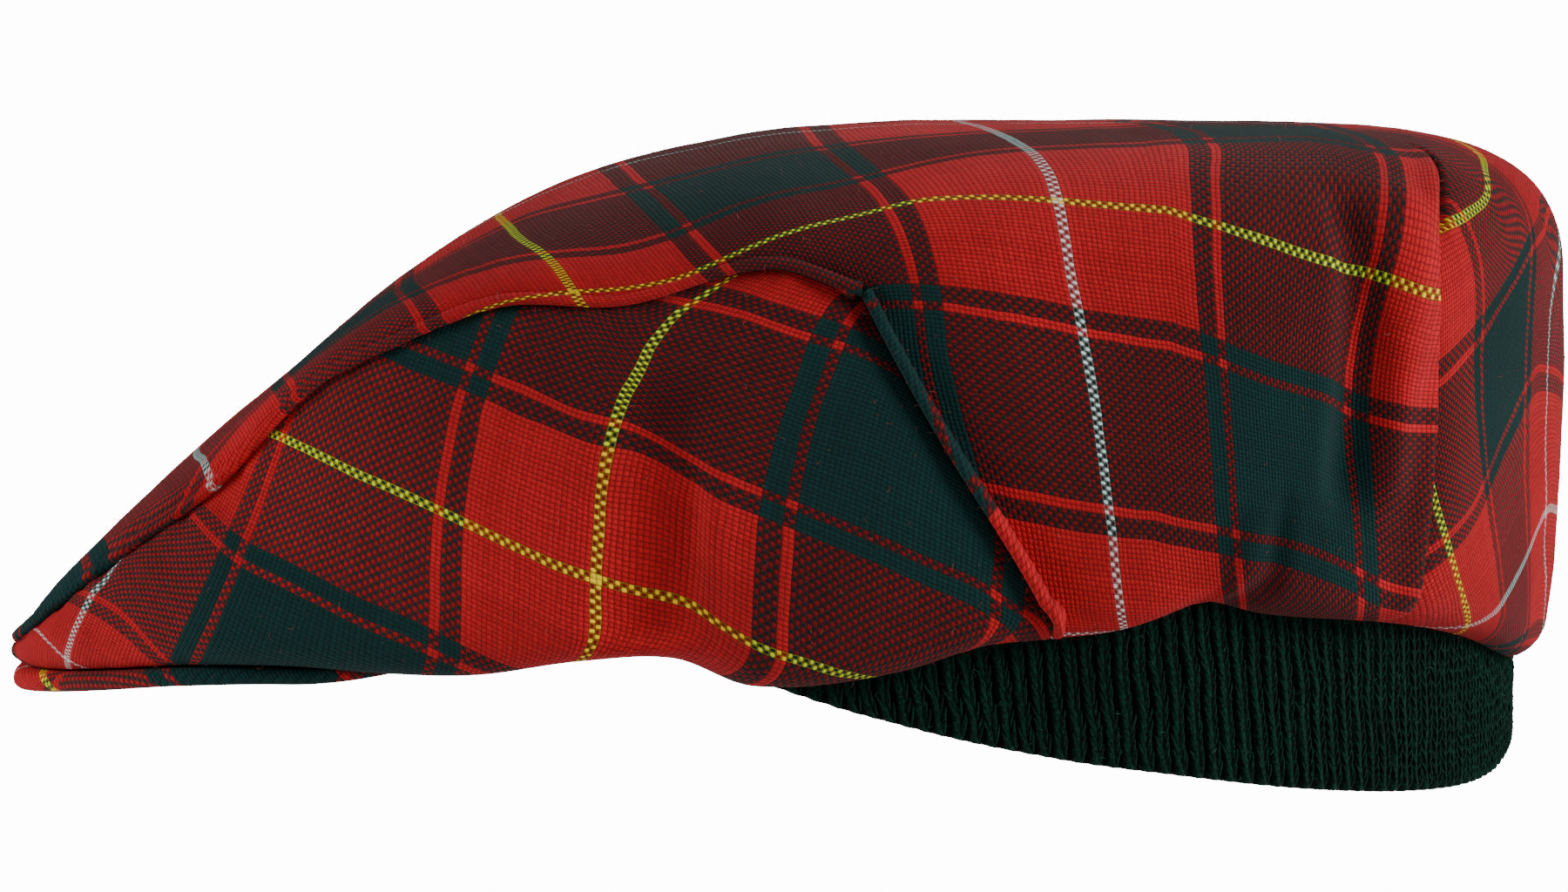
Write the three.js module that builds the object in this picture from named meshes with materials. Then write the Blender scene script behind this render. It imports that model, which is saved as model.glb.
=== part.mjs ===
// A flat cap with a fold-down knitted ear band.
//
// Millimetres, +Z up. The peak points to -Y, the back of the head is +Y and the wearer's left is +X.
// The origin is the underside of the crown, where the top of the head bears.
//
// The cloth is described on half a cap and mirrored. A place on it has two coordinates:
//   angle  goes round the cap, from 0 at the front centre to PI at the back centre;
//   level  goes up the cloth, from 0 at the hem, to 1 at the edge where the wall meets the top,
//          to 2 at the centre line of the crown.
// Both faces of a panel come from the same functions, the inner one with a depth of one cloth thickness.

import * as THREE from 'three';

// ---- Driving sizes -------------------------------------------------------------------------------

const CLOTH = 1.8;              // woven cloth with its interlining
const KNIT = 3.0;               // rib knit
const SEAM_GAP = 0.3;           // between two pieces that are sewn together
const TURN_HEIGHT = 7.0;        // height over which the cloth turns under at the hem
const TURN_SHARE = 0.28;        // share of the wall's levels spent on that turn
const WALL_BULGE = 1.2;         // how far the wall stands out between its edge and its foot
const LIP_BULGE = 0.6;          // the same at the short wall of the front lip

const SPINE_HOLD = -20;         // in front of this the cloth's cross lines run square to the centre line
const SPINE_END = 55;           // back of it they fan out, and the last one starts here

const SIDE_SEAM_TOP = -18.6;    // y of the upright side seam where it meets the top seam
const SIDE_SEAM_FOOT = 21.2;    // y of the same seam at the hem
const SIDE_SEAM_BOW = 0.019;    // how far it bows back between its ends, as an angle in radians

const PEAK_TIP_THICKNESS = 3.4;
const PEAK_HORN_THICKNESS = 2.0;
const PEAK_OVERHANG = 1.6;      // how far the peak reaches out past the hem in front
const PEAK_DROP = 0.6;          // the peak's outer edge lies this far below the hem
const PEAK_TUCK = { from: -134, to: -116, top: -84, rise: 5 };  // where it slips inside the cloth
const PEAK_FOREHEAD = { length: 97, halfWidth: 84, sweep: 0.85, centreZ: -79, drop: 4 };

const BAND_FRONT_Y = -46;       // where the ear band starts, beside the temples
const BAND_TUCK = 9;            // how far the band reaches up inside the hem
const CLEARANCE = 0.5;          // between the hem and what passes inside it

// How finely each piece is divided.
const FRONT_COLUMNS = 22;
const WALL_ROWS = 8;
const TOP_ROWS = 10;
const BACK_COLUMNS = 24;
const PEAK_COLUMNS = 16;
const PEAK_ROWS = 4;
const BAND_COLUMNS = 26;
const BAND_ROWS = 3;

// Outlines seen from above. Each is a front and a back quarter of a superellipse that meet at the
// widest place, mirrored.
const OUTLINES = {
  edge: { front: -167.0, back: 105.2, halfWidth: 86, widestAt: 32, frontPower: 2.4, backPower: 2.2 },
  foot: { front: -168.6, back: 102.6, halfWidth: 87, widestAt: 28, frontPower: 2.4, backPower: 2.2 },
  hem: { front: -165.0, back: 98.0, halfWidth: 79, widestAt: 18, frontPower: 2.4, backPower: 2.15 },
};

// Height of the crown's centre line, front to back.
const CENTRE_LINE = [
  { y: -167, z: -89.2 },
  { y: -157, z: -77.2 },
  { y: -139, z: -59.2 },
  { y: -120, z: -43.0 },
  { y: -102, z: -27.6 },
  { y: -83, z: -14.9 },
  { y: -65, z: -6.9 },
  { y: -46, z: -2.1 },
  { y: -28, z: 0.5 },
  { y: 0, z: 1.8 },
  { y: 40, z: 1.5 },
  { y: 56, z: 1.3 },
];

// The edge between the top and the wall: the top seam as far back as the side seam, then a soft
// shoulder. A higher roundness makes a flatter top with a tighter shoulder.
const EDGE_LINE = [
  { y: -167, z: -89.4, roundness: 2.6 },
  { y: -157, z: -80.5, roundness: 2.6 },
  { y: -141, z: -68.0, roundness: 2.6 },
  { y: -128, z: -58.5, roundness: 2.6 },
  { y: -112, z: -42.0, roundness: 2.6 },
  { y: -95, z: -32.8, roundness: 2.6 },
  { y: -78, z: -26.5, roundness: 2.6 },
  { y: -58, z: -26.2, roundness: 2.7 },
  { y: -34, z: -20.0, roundness: 2.7 },
  { y: -18, z: -24.6, roundness: 2.9 },
  { y: 8, z: -29.0, roundness: 3.1 },
  { y: 60, z: -32.0, roundness: 3.2 },
  { y: 106, z: -29.0, roundness: 3.1 },
];

// Height of the hem.
const HEM_LINE = [
  { y: -168, z: -93.4 },
  { y: -149, z: -91.0 },
  { y: -134, z: -89.4 },
  { y: -115, z: -88.7 },
  { y: -98, z: -89.4 },
  { y: -81, z: -89.3 },
  { y: -63, z: -86.7 },
  { y: -45, z: -85.9 },
  { y: -31, z: -90.4 },
  { y: -11, z: -88.8 },
  { y: 8, z: -83.6 },
  { y: 31, z: -81.2 },
  { y: 46, z: -76.2 },
  { y: 57, z: -78.6 },
  { y: 78, z: -81.4 },
  { y: 90, z: -85.0 },
  { y: 99, z: -90.5 },
];

// Height of the ear band's lower edge.
const BAND_FOOT_LINE = [
  { y: -46, z: -85.0 },
  { y: -31, z: -91.0 },
  { y: -11, z: -96.8 },
  { y: 12, z: -101.7 },
  { y: 35, z: -105.0 },
  { y: 59, z: -108.2 },
  { y: 82, z: -110.2 },
  { y: 92, z: -109.4 },
  { y: 98, z: -105.8 },
];

// Folds and dents of the cloth: where each lies round the cap and how wide it is, in degrees, the
// levels it runs between, and its depth.
const FOLDS = [
  { name: 'back dart', at: 126.5, width: 2.2, low: 0.0, high: 1.8, depth: 3.0 },
  { name: 'swell before the dart', at: 121.5, width: 4.0, low: 0.1, high: 1.6, depth: -1.2 },
  { name: 'soft fold before the dart', at: 112.0, width: 5.0, low: 0.3, high: 1.5, depth: 1.6 },
  { name: 'dent over the ear', at: 97.0, width: 8.0, low: 0.0, high: 0.5, depth: 1.4 },
  { name: 'hollow of the side panel', at: 66.0, width: 7.0, low: 0.1, high: 0.8, depth: 1.8 },
];

// ---- Curves and outlines -------------------------------------------------------------------------

// Smooth value of one column of a table at a place along it (Hermite, with end slopes of the chords).
function readTable(rows, column, y) {
  const last = rows.length - 1;
  const place = Math.min(Math.max(y, rows[0].y), rows[last].y);
  let i = 0;
  while (i < last - 1 && place > rows[i + 1].y) i += 1;
  const slopeAt = (k) => {
    const before = rows[Math.max(k - 1, 0)];
    const after = rows[Math.min(k + 1, last)];
    return (after[column] - before[column]) / (after.y - before.y);
  };
  const span = rows[i + 1].y - rows[i].y;
  const s = (place - rows[i].y) / span;
  const keep = (1 + 2 * s) * (1 - s) ** 2;
  return rows[i][column] * keep + rows[i + 1][column] * (1 - keep)
    + span * (slopeAt(i) * s * (1 - s) ** 2 - slopeAt(i + 1) * s ** 2 * (1 - s));
}

function outlinePoint(outline, angle, inset = 0) {
  const isFront = angle <= Math.PI / 2;
  const power = 2 / (isFront ? outline.frontPower : outline.backPower);
  const reach = isFront ? outline.front + inset : outline.back - inset;
  const along = Math.abs(Math.cos(angle)) ** power;
  const across = Math.abs(Math.sin(angle)) ** power;
  return new THREE.Vector2((outline.halfWidth - inset) * across,
    outline.widestAt + (reach - outline.widestAt) * along);
}

// The way out of an outline, in plan.
function outwardOf(outline, angle) {
  const step = 0.01;
  const ahead = outlinePoint(outline, Math.min(angle + step, Math.PI));
  const behind = outlinePoint(outline, Math.max(angle - step, 0));
  const tangent = ahead.sub(behind).normalize();
  return new THREE.Vector2(tangent.y, -tangent.x);
}

// The angle at which an outline passes a given y.
function angleAt(outline, y) {
  const isFront = y <= outline.widestAt;
  const reach = (isFront ? outline.front : outline.back) - outline.widestAt;
  const power = (isFront ? outline.frontPower : outline.backPower) / 2;
  const cosine = Math.min((y - outline.widestAt) / reach, 1) ** power;
  return isFront ? Math.acos(cosine) : Math.PI - Math.acos(cosine);
}

// A rounded bump from 0 through 1 to 0 between two values.
function bump(value, low, high) {
  const s = (value - low) / (high - low);
  return s <= 0 || s >= 1 ? 0 : Math.sin(Math.PI * s) ** 2;
}

// A bump that is full over most of its length and fades over its last fifth at each end.
function stretch(value, low, high) {
  const fade = (high - low) / 5;
  return THREE.MathUtils.smoothstep(value, low, low + fade)
    * (1 - THREE.MathUtils.smoothstep(value, high - fade, high));
}

// ---- The cloth's surface -------------------------------------------------------------------------

function hemHeight(angle) {
  return readTable(HEM_LINE, 'z', outlinePoint(OUTLINES.foot, angle).y);
}

// The wall, from the hem at level 0 to the edge at level 1.
function wallPoint(angle, level, depth) {
  const edge = outlinePoint(OUTLINES.edge, angle, depth);
  const foot = outlinePoint(OUTLINES.foot, angle, depth);
  const hem = outlinePoint(OUTLINES.hem, angle);
  const outward = outwardOf(OUTLINES.foot, angle);
  const edgeZ = readTable(EDGE_LINE, 'z', outlinePoint(OUTLINES.edge, angle).y);
  const hemZ = hemHeight(angle) + depth;
  const height = edgeZ - hemZ;
  const turn = Math.min(TURN_HEIGHT, height * 0.6) - depth / 2;
  if (level < TURN_SHARE) {
    const swing = (level / TURN_SHARE) * (Math.PI / 2);
    const plan = foot.clone().lerp(hem, 1 - Math.sin(swing));
    return new THREE.Vector3(plan.x, plan.y, hemZ + turn * (1 - Math.cos(swing)));
  }
  const climb = (level - TURN_SHARE) / (1 - TURN_SHARE);
  const lipShare = THREE.MathUtils.smoothstep(height, 10, 40);
  const stand = THREE.MathUtils.lerp(LIP_BULGE, WALL_BULGE, lipShare) * Math.sin(Math.PI * climb);
  const plan = foot.clone().lerp(edge, climb).addScaledVector(outward, stand);
  return new THREE.Vector3(plan.x, plan.y, hemZ + turn + (height - turn) * climb);
}

// The top, from the edge at level 1 to the centre line at level 2: a superellipse quarter.
function topPoint(angle, level, depth) {
  const outerEdge = outlinePoint(OUTLINES.edge, angle);
  const edge = outlinePoint(OUTLINES.edge, angle, depth);
  const pull = Math.max((outerEdge.y - SPINE_HOLD) / (OUTLINES.edge.back - SPINE_HOLD), 0) ** 2;
  const spineY = edge.y - pull * (OUTLINES.edge.back - SPINE_END);
  const spineZ = readTable(CENTRE_LINE, 'z', spineY) - depth;
  const edgeZ = readTable(EDGE_LINE, 'z', outerEdge.y);
  const power = 2 / readTable(EDGE_LINE, 'roundness', outerEdge.y);
  const swing = (level - 1) * (Math.PI / 2);
  const out = Math.abs(Math.cos(swing)) ** power;
  const up = Math.sin(swing) ** power;
  return new THREE.Vector3(edge.x * out, spineY + (edge.y - spineY) * out,
    edgeZ + (spineZ - edgeZ) * up);
}

// How deep the folds press the cloth in at a place.
function foldDepth(angle, level) {
  const degrees = THREE.MathUtils.radToDeg(angle);
  return FOLDS.reduce((sum, fold) => sum + fold.depth
    * bump(degrees, fold.at - fold.width, fold.at + fold.width)
    * stretch(level, fold.low, fold.high), 0);
}

function clothPoint(angle, level, depth) {
  const point = level <= 1 ? wallPoint(angle, level, depth) : topPoint(angle, level, depth);
  const press = foldDepth(angle, level);
  const outward = outwardOf(OUTLINES.edge, angle);
  const tilt = Math.max(level - 1, 0) * (Math.PI / 2);
  point.x -= press * outward.x * Math.cos(tilt);
  point.y -= press * outward.y * Math.cos(tilt);
  point.z -= press * Math.sin(tilt);
  return point;
}

// ---- Solids --------------------------------------------------------------------------------------

// A closed solid between two faces of a grid. Each face is a function of column and row. Where two
// corners of a quad fall on one point, the quad becomes one triangle. A solid that goes all the way
// round and over has a rim only along row 0.
function solidBetween(columns, rows, outer, inner, { roundAndOver = false } = {}) {
  const points = [];
  const numbers = new Map();
  const numberOf = (point) => {
    const key = [point.x, point.y, point.z].map((value) => Math.round(value * 1000)).join();
    if (!numbers.has(key)) {
      numbers.set(key, points.length);
      points.push(point);
    }
    return numbers.get(key);
  };
  const gridOf = (face) => Array.from({ length: columns + 1 }, (_, column) => (
    Array.from({ length: rows + 1 }, (__, row) => numberOf(face(column, row)))));
  const front = gridOf(outer);
  const back = gridOf(inner);
  const faces = [];
  const triangle = (a, b, c) => {
    if (a !== b && b !== c && c !== a) faces.push(a, b, c);
  };
  const quad = (a, b, c, d) => {
    triangle(a, b, c);
    triangle(a, c, d);
  };
  for (let i = 0; i < columns; i += 1) {
    for (let j = 0; j < rows; j += 1) {
      quad(front[i][j], front[i + 1][j], front[i + 1][j + 1], front[i][j + 1]);
      quad(back[i][j], back[i][j + 1], back[i + 1][j + 1], back[i + 1][j]);
    }
    quad(back[i][0], back[i + 1][0], front[i + 1][0], front[i][0]);
    if (!roundAndOver) quad(front[i][rows], front[i + 1][rows], back[i + 1][rows], back[i][rows]);
  }
  for (let j = 0; j < rows && !roundAndOver; j += 1) {
    quad(front[0][j], front[0][j + 1], back[0][j + 1], back[0][j]);
    quad(back[columns][j], back[columns][j + 1], front[columns][j + 1], front[columns][j]);
  }
  const geometry = new THREE.BufferGeometry();
  geometry.setAttribute('position',
    new THREE.Float32BufferAttribute(points.flatMap((point) => point.toArray()), 3));
  geometry.setIndex(faces);
  return geometry;
}

// Half a row of angles continued over the other half. Each column keeps its side, +1 for the left.
function mirrorColumns(half) {
  const others = half.slice(0, -1).reverse().map((column) => ({ ...column, side: -1 }));
  return half.map((column) => ({ ...column, side: 1 })).concat(others);
}

function mirrored(point, side) {
  point.x *= side;
  return point;
}

// Turns every triangle over if the solid would be inside out.
function facingOut(geometry) {
  const { position } = geometry.attributes;
  const index = geometry.getIndex().array;
  const corner = (k) => new THREE.Vector3().fromBufferAttribute(position, index[k]);
  let volume = 0;
  for (let k = 0; k < index.length; k += 3) {
    volume += corner(k).dot(corner(k + 1).cross(corner(k + 2)));
  }
  if (volume < 0) geometry.setIndex(Array.from(index).reverse());
  geometry.computeVertexNormals();
  return geometry;
}

// ---- The pieces ----------------------------------------------------------------------------------

const seamTopAngle = angleAt(OUTLINES.edge, SIDE_SEAM_TOP);
const seamFootAngle = angleAt(OUTLINES.foot, SIDE_SEAM_FOOT);

// Angle of the upright side seam at a level of the wall.
function sideSeamAngle(level) {
  const bow = SIDE_SEAM_BOW * Math.sin(Math.PI * level);
  return THREE.MathUtils.lerp(seamFootAngle, seamTopAngle, level) + bow;
}

function steps(count) {
  return Array.from({ length: count + 1 }, (_, k) => k / count);
}

// The crown panel's lower edge follows the top seam, runs down the side seam and then along the hem.
function crownGeometry() {
  const front = steps(FRONT_COLUMNS).map((s) => ({ angle: s * seamTopAngle, low: 1 }));
  const slant = steps(WALL_ROWS).slice(1)
    .map((s) => ({ angle: sideSeamAngle(1 - s), low: 1 - s }));
  const back = steps(BACK_COLUMNS).slice(1)
    .map((s) => ({ angle: THREE.MathUtils.lerp(seamFootAngle, Math.PI, s), low: 0 }));
  const half = front.concat(slant, back);
  const columns = mirrorColumns(half);
  const rows = WALL_ROWS + TOP_ROWS;
  const face = (depth) => (column, row) => {
    const { angle, low, side } = columns[column];
    const wallShare = Math.min(row / WALL_ROWS, 1);
    const topShare = Math.max((row - WALL_ROWS) / TOP_ROWS, 0);
    const level = low + (1 - low) * wallShare + topShare;
    return mirrored(clothPoint(angle, level, depth), side);
  };
  return solidBetween(columns.length - 1, rows, face(0), face(CLOTH), { roundAndOver: true });
}

// A side panel fills the wall from the front centre to the side seam.
function sidePanelGeometry(side) {
  const frontAngle = (SEAM_GAP / 2 / OUTLINES.foot.halfWidth) ** (OUTLINES.foot.frontPower / 2);
  const seamTrim = SEAM_GAP / (OUTLINES.edge.widestAt - OUTLINES.edge.front);
  const face = (depth) => (column, row) => {
    const level = row / WALL_ROWS;
    const backAngle = sideSeamAngle(level) - seamTrim;
    const angle = THREE.MathUtils.lerp(frontAngle, backAngle, column / FRONT_COLUMNS);
    const point = clothPoint(angle, level, depth);
    point.z -= level === 1 ? SEAM_GAP : 0;
    return mirrored(point, side);
  };
  return solidBetween(FRONT_COLUMNS, WALL_ROWS, face(0), face(CLOTH));
}

// The peak is a thin arched plate. Its outer edge lies under the front hem and tucks in behind the
// side panels towards the temples, and its inner edge follows the forehead.
function peakOuterEdge(angle) {
  const { y } = outlinePoint(OUTLINES.hem, angle);
  const tuck = THREE.MathUtils.smoothstep(y, PEAK_TUCK.from, PEAK_TUCK.to);
  const rise = PEAK_TUCK.rise * THREE.MathUtils.smoothstep(y, PEAK_TUCK.to, PEAK_TUCK.top);
  const inset = THREE.MathUtils.lerp(-PEAK_OVERHANG, CLEARANCE, tuck);
  const plan = outlinePoint(OUTLINES.hem, angle, inset);
  return new THREE.Vector3(plan.x, plan.y, hemHeight(angle) - PEAK_DROP + rise);
}

function peakInnerEdge(share) {
  const angle = share * PEAK_FOREHEAD.sweep;
  const x = PEAK_FOREHEAD.halfWidth * Math.sin(angle);
  const z = PEAK_FOREHEAD.centreZ - PEAK_FOREHEAD.drop * share ** 2;
  return new THREE.Vector3(x, -PEAK_FOREHEAD.length * Math.cos(angle), z);
}

function peakGeometry() {
  const hornAngle = seamFootAngle * (PEAK_COLUMNS / FRONT_COLUMNS);
  const columns = steps(2 * PEAK_COLUMNS).map((s) => 2 * s - 1);
  const face = (isUnderside) => (column, row) => {
    const share = Math.abs(columns[column]);
    const point = peakOuterEdge(share * hornAngle).lerp(peakInnerEdge(share), row / PEAK_ROWS);
    const thickness = THREE.MathUtils.lerp(PEAK_TIP_THICKNESS, PEAK_HORN_THICKNESS, share ** 2);
    point.z -= isUnderside ? thickness : 0;
    return mirrored(point, Math.sign(columns[column]));
  };
  return solidBetween(columns.length - 1, PEAK_ROWS, face(false), face(true));
}

// The ear band hangs from the inside of the hem, from one temple round the back to the other.
function bandGeometry() {
  const frontAngle = angleAt(OUTLINES.hem, BAND_FRONT_Y);
  const half = steps(BAND_COLUMNS).map((s) => (
    { angle: THREE.MathUtils.lerp(frontAngle, Math.PI, s) }));
  const columns = mirrorColumns(half);
  const face = (depth) => (column, row) => {
    const { angle, side } = columns[column];
    const { y } = outlinePoint(OUTLINES.hem, angle);
    const plan = outlinePoint(OUTLINES.hem, angle, CLEARANCE + depth);
    const foot = readTable(BAND_FOOT_LINE, 'z', y);
    const top = hemHeight(angle) + BAND_TUCK;
    const z = THREE.MathUtils.lerp(foot, top, row / BAND_ROWS);
    return mirrored(new THREE.Vector3(plan.x, plan.y, z), side);
  };
  return solidBetween(columns.length - 1, BAND_ROWS, face(0), face(KNIT));
}

// ---- The cap -------------------------------------------------------------------------------------

function piece(name, geometry, color, roughness) {
  const material = new THREE.MeshStandardMaterial({ color, roughness, metalness: 0 });
  const mesh = new THREE.Mesh(facingOut(geometry), material);
  mesh.name = name;
  return mesh;
}

const TARTAN_RED = 0xa8201c;
const TARTAN_DARK = 0x4a3a34;
const KNIT_GREEN = 0x063526;

const cap = new THREE.Group();
cap.add(piece('crown_panel', crownGeometry(), TARTAN_RED, 0.9));
cap.add(piece('side_panel_left', sidePanelGeometry(1), TARTAN_RED, 0.9));
cap.add(piece('side_panel_right', sidePanelGeometry(-1), TARTAN_RED, 0.9));
cap.add(piece('peak', peakGeometry(), TARTAN_DARK, 0.9));
cap.add(piece('ear_band', bandGeometry(), KNIT_GREEN, 0.95));

export default cap;
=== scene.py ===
# %% [markdown]
# # A tartan flat cap with a fold-down knitted ear band
#
# The cap is cut from a woolly tartan cloth. A long crown panel runs from the brow over the head and
# down the back. Two side panels close the front and the temples, a short peak lies under the front
# lip, and a knitted band hangs out of the hem to cover the ears.
#
# The measured solids are the frame. Each of them is a plain shape of the right size, and this lesson
# makes the cloth, the seams, the stitches and the knitting that stand for it.

import math

import bpy
import numpy as np
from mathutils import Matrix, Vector


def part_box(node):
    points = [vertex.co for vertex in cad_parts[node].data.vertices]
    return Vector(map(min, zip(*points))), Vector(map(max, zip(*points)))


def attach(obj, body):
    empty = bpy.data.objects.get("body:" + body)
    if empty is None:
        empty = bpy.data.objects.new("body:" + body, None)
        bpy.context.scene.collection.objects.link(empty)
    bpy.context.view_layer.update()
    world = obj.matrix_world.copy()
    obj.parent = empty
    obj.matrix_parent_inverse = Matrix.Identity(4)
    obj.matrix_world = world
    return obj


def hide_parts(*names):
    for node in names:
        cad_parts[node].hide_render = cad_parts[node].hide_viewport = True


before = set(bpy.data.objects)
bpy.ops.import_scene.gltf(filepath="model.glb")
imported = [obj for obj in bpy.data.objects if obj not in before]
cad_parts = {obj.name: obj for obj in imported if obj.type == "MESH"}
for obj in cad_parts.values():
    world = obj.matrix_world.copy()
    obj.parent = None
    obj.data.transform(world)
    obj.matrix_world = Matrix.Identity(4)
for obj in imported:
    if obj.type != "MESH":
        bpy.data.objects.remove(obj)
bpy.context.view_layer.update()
MM = 0.001
for node in sorted(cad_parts):
    low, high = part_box(node)
    print(node, "box in mm", [round(v / MM, 1) for v in (*low, *high)])

# %% [markdown]
# ## The camera, the light and the floor
#
# The cap is seen from the wearer's left, from over a metre away and a little above. A plain pale
# floor and broad soft lamps keep the colours of the wool true. The lamps could be small spots, which
# give hard shadows, but a knitted and woven thing reads best under large panels: the relief of each
# thread is soft and the folds still show. One panel stands before the brow and a stronger one behind
# the ear, so light grazes the cloth from both ends. Weak ones overhead, behind and across fill in.
# The backdrop is a lit white wall. If all of it lit the cap, every fold would be washed out, so what
# is seen directly is bright and what reaches the wool is a weak fill.

# %% Camera
CAMERA_AT = np.array([1200.0, -31.0, 28.0]) * MM
LOOKS_AT = np.array([0.0, -31.6, -55.75]) * MM


def new_object(name, data):
    """An object that shows the given data, at the origin of the scene."""
    thing = bpy.data.objects.new(name, data)
    bpy.context.scene.collection.objects.link(thing)
    return thing


def aim(thing, place, target):
    """Puts a camera or a lamp at a place and turns it to look at a target, upright."""
    thing.location = Vector(place)
    thing.rotation_euler = (Vector(target) - Vector(place)).to_track_quat("-Z", "Y").to_euler()


camera_data = bpy.data.cameras.new("view_from_the_left")
camera_data.lens = 155.8
camera_data.sensor_width = 36.0
camera_data.clip_start = 0.05
camera_data.clip_end = 50.0
camera = new_object("view_from_the_left", camera_data)
aim(camera, CAMERA_AT, LOOKS_AT)
bpy.context.scene.camera = camera
print("camera stands", round(float(np.linalg.norm(CAMERA_AT - LOOKS_AT)), 3), "m from the cap")

# %% Soft light
world = bpy.data.worlds.new("pale_room")
bpy.context.scene.world = world
world.use_nodes = True
world_tree = world.node_tree
ROOM_FILL = 0.12
BACKDROP = 14.0
fill = world_tree.nodes["Background"]
backdrop = world_tree.nodes.new("ShaderNodeBackground")
for background, strength in ((fill, ROOM_FILL), (backdrop, BACKDROP)):
    background.inputs["Color"].default_value = (1.0, 1.0, 1.0, 1.0)
    background.inputs["Strength"].default_value = strength
seen_directly = world_tree.nodes.new("ShaderNodeLightPath")
either = world_tree.nodes.new("ShaderNodeMixShader")
world_tree.links.new(seen_directly.outputs["Is Camera Ray"], either.inputs[0])
world_tree.links.new(fill.outputs[0], either.inputs[1])
world_tree.links.new(backdrop.outputs[0], either.inputs[2])
world_tree.links.new(either.outputs[0], world_tree.nodes["World Output"].inputs["Surface"])

# Each panel of light: its name, its place, its width and height in metres, and its power in watts.
HEART = (0.0, -0.03, -0.05)
PANELS = [
    ("panel_before_the_brow", (0.4, -1.5, 0.6), (0.7, 0.7), 18.0),
    ("panel_overhead", (0.1, -0.3, 1.5), (1.1, 0.9), 2.0),
    ("panel_behind_the_ear", (0.85, 1.35, 0.6), (0.6, 0.6), 27.0),
    ("panel_behind", (0.2, 1.45, 0.4), (0.8, 0.8), 7.0),
    ("panel_across", (-1.3, 0.2, 0.5), (0.8, 0.8), 2.0),
]
for name, place, (width, height), power in PANELS:
    light = bpy.data.lights.new(name, "AREA")
    light.shape = "RECTANGLE"
    light.size = width
    light.size_y = height
    light.energy = power
    aim(new_object(name, light), place, HEART)
print("lamps", [panel[0] for panel in PANELS])

# %% [markdown]
# ## The shape of the cloth
#
# A cap is a curved sheet, so each place on it is named by two numbers, as a place on a globe is. The
# angle goes round the cap from the front centre to the back centre. The level goes up the cloth: 0 is
# the hem, 1 is the edge where the wall meets the top, and 2 is the centre line of the crown. Half a
# cap is described and the other half is its mirror image.
#
# The sheet could be sculpted by hand or laid over a head by simulation. Here short tables of
# heights and three outlines give it, because the solids were made from the same sizes and the cloth
# must lie exactly where they are. All sizes in this part are millimetres, and Y runs from the brow,
# which is negative, to the nape.

# %% Sizes of the cap
# How thick the cloth and the knit are, the gap at a seam, and the air between cloth and knit.
CLOTH = 1.8
KNIT = 3.0
SEAM_GAP = 0.3
CLEARANCE = 0.5
# The hem turns under over this height, which takes this share of the wall's levels.
TURN_HEIGHT = 7.0
TURN_SHARE = 0.28
# How far the wall stands out between its hem and its edge, where it is tall and at the front lip.
WALL_BULGE = 1.2
LIP_BULGE = 0.6
# Behind the first place the columns of the top are pulled forward, and the last ends at the second.
SPINE_HOLD = -20.0
SPINE_END = 55.0
# Where the upright side seam meets the edge and the hem, and its bow in radians.
SIDE_SEAM_TOP = -18.6
SIDE_SEAM_FOOT = 21.2
SIDE_SEAM_BOW = 0.019

# Three outlines seen from above: the edge of the top, the foot of the wall and the turned-in hem.
EDGE = {"front": -167.0, "back": 105.2, "half": 86.0, "widest": 32.0, "powers": (2.4, 2.2)}
FOOT = {"front": -168.6, "back": 102.6, "half": 87.0, "widest": 28.0, "powers": (2.4, 2.2)}
HEM = {"front": -165.0, "back": 98.0, "half": 79.0, "widest": 18.0, "powers": (2.4, 2.15)}

# Each table has a place along the cap, front to back, and a height.
CENTRE_LINE = [
    (-167, -89.2), (-157, -77.2), (-139, -59.2), (-120, -43.0), (-102, -27.6), (-83, -14.9),
    (-65, -6.9), (-46, -2.1), (-28, 0.5), (0, 1.8), (40, 1.5), (56, 1.3),
]
EDGE_LINE = [
    (-167, -89.4), (-157, -80.5), (-141, -68.0), (-128, -58.5), (-112, -42.0), (-95, -32.8),
    (-78, -26.5), (-58, -26.2), (-34, -20.0), (-18, -24.6), (8, -29.0), (60, -32.0), (106, -29.0),
]
# The power of the arch from the edge to the centre line: a higher one is a tighter shoulder.
ROUNDNESS = [(-167, 2.6), (-78, 2.6), (-58, 2.7), (-34, 2.7), (-18, 2.9), (8, 3.1), (60, 3.2), (106, 3.1)]
HEM_LINE = [
    (-168, -93.4), (-149, -91.0), (-134, -89.4), (-115, -88.7), (-98, -89.4), (-81, -89.3),
    (-63, -86.7), (-45, -85.9), (-31, -90.4), (-11, -88.8), (8, -83.6), (31, -81.2), (46, -76.2),
    (57, -78.6), (78, -81.4), (90, -85.0), (99, -90.5),
]
BAND_FOOT_LINE = [
    (-46, -85.0), (-31, -91.0), (-11, -96.8), (12, -101.7), (35, -105.0), (59, -108.2),
    (82, -110.2), (92, -109.4), (98, -105.8),
]
print("tables", len(CENTRE_LINE), len(EDGE_LINE), len(HEM_LINE), len(BAND_FOOT_LINE))


# %% Reading a table and an outline
def smooth_step_between(s, span, first, second, slope_first, slope_second):
    """From one value to the next over a span, leaving and arriving at the given slopes."""
    keep = (1 + 2 * s) * (1 - s) ** 2
    bend = slope_first * s * (1 - s) ** 2 - slope_second * s**2 * (1 - s)
    return first * keep + second * (1 - keep) + span * bend


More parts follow.
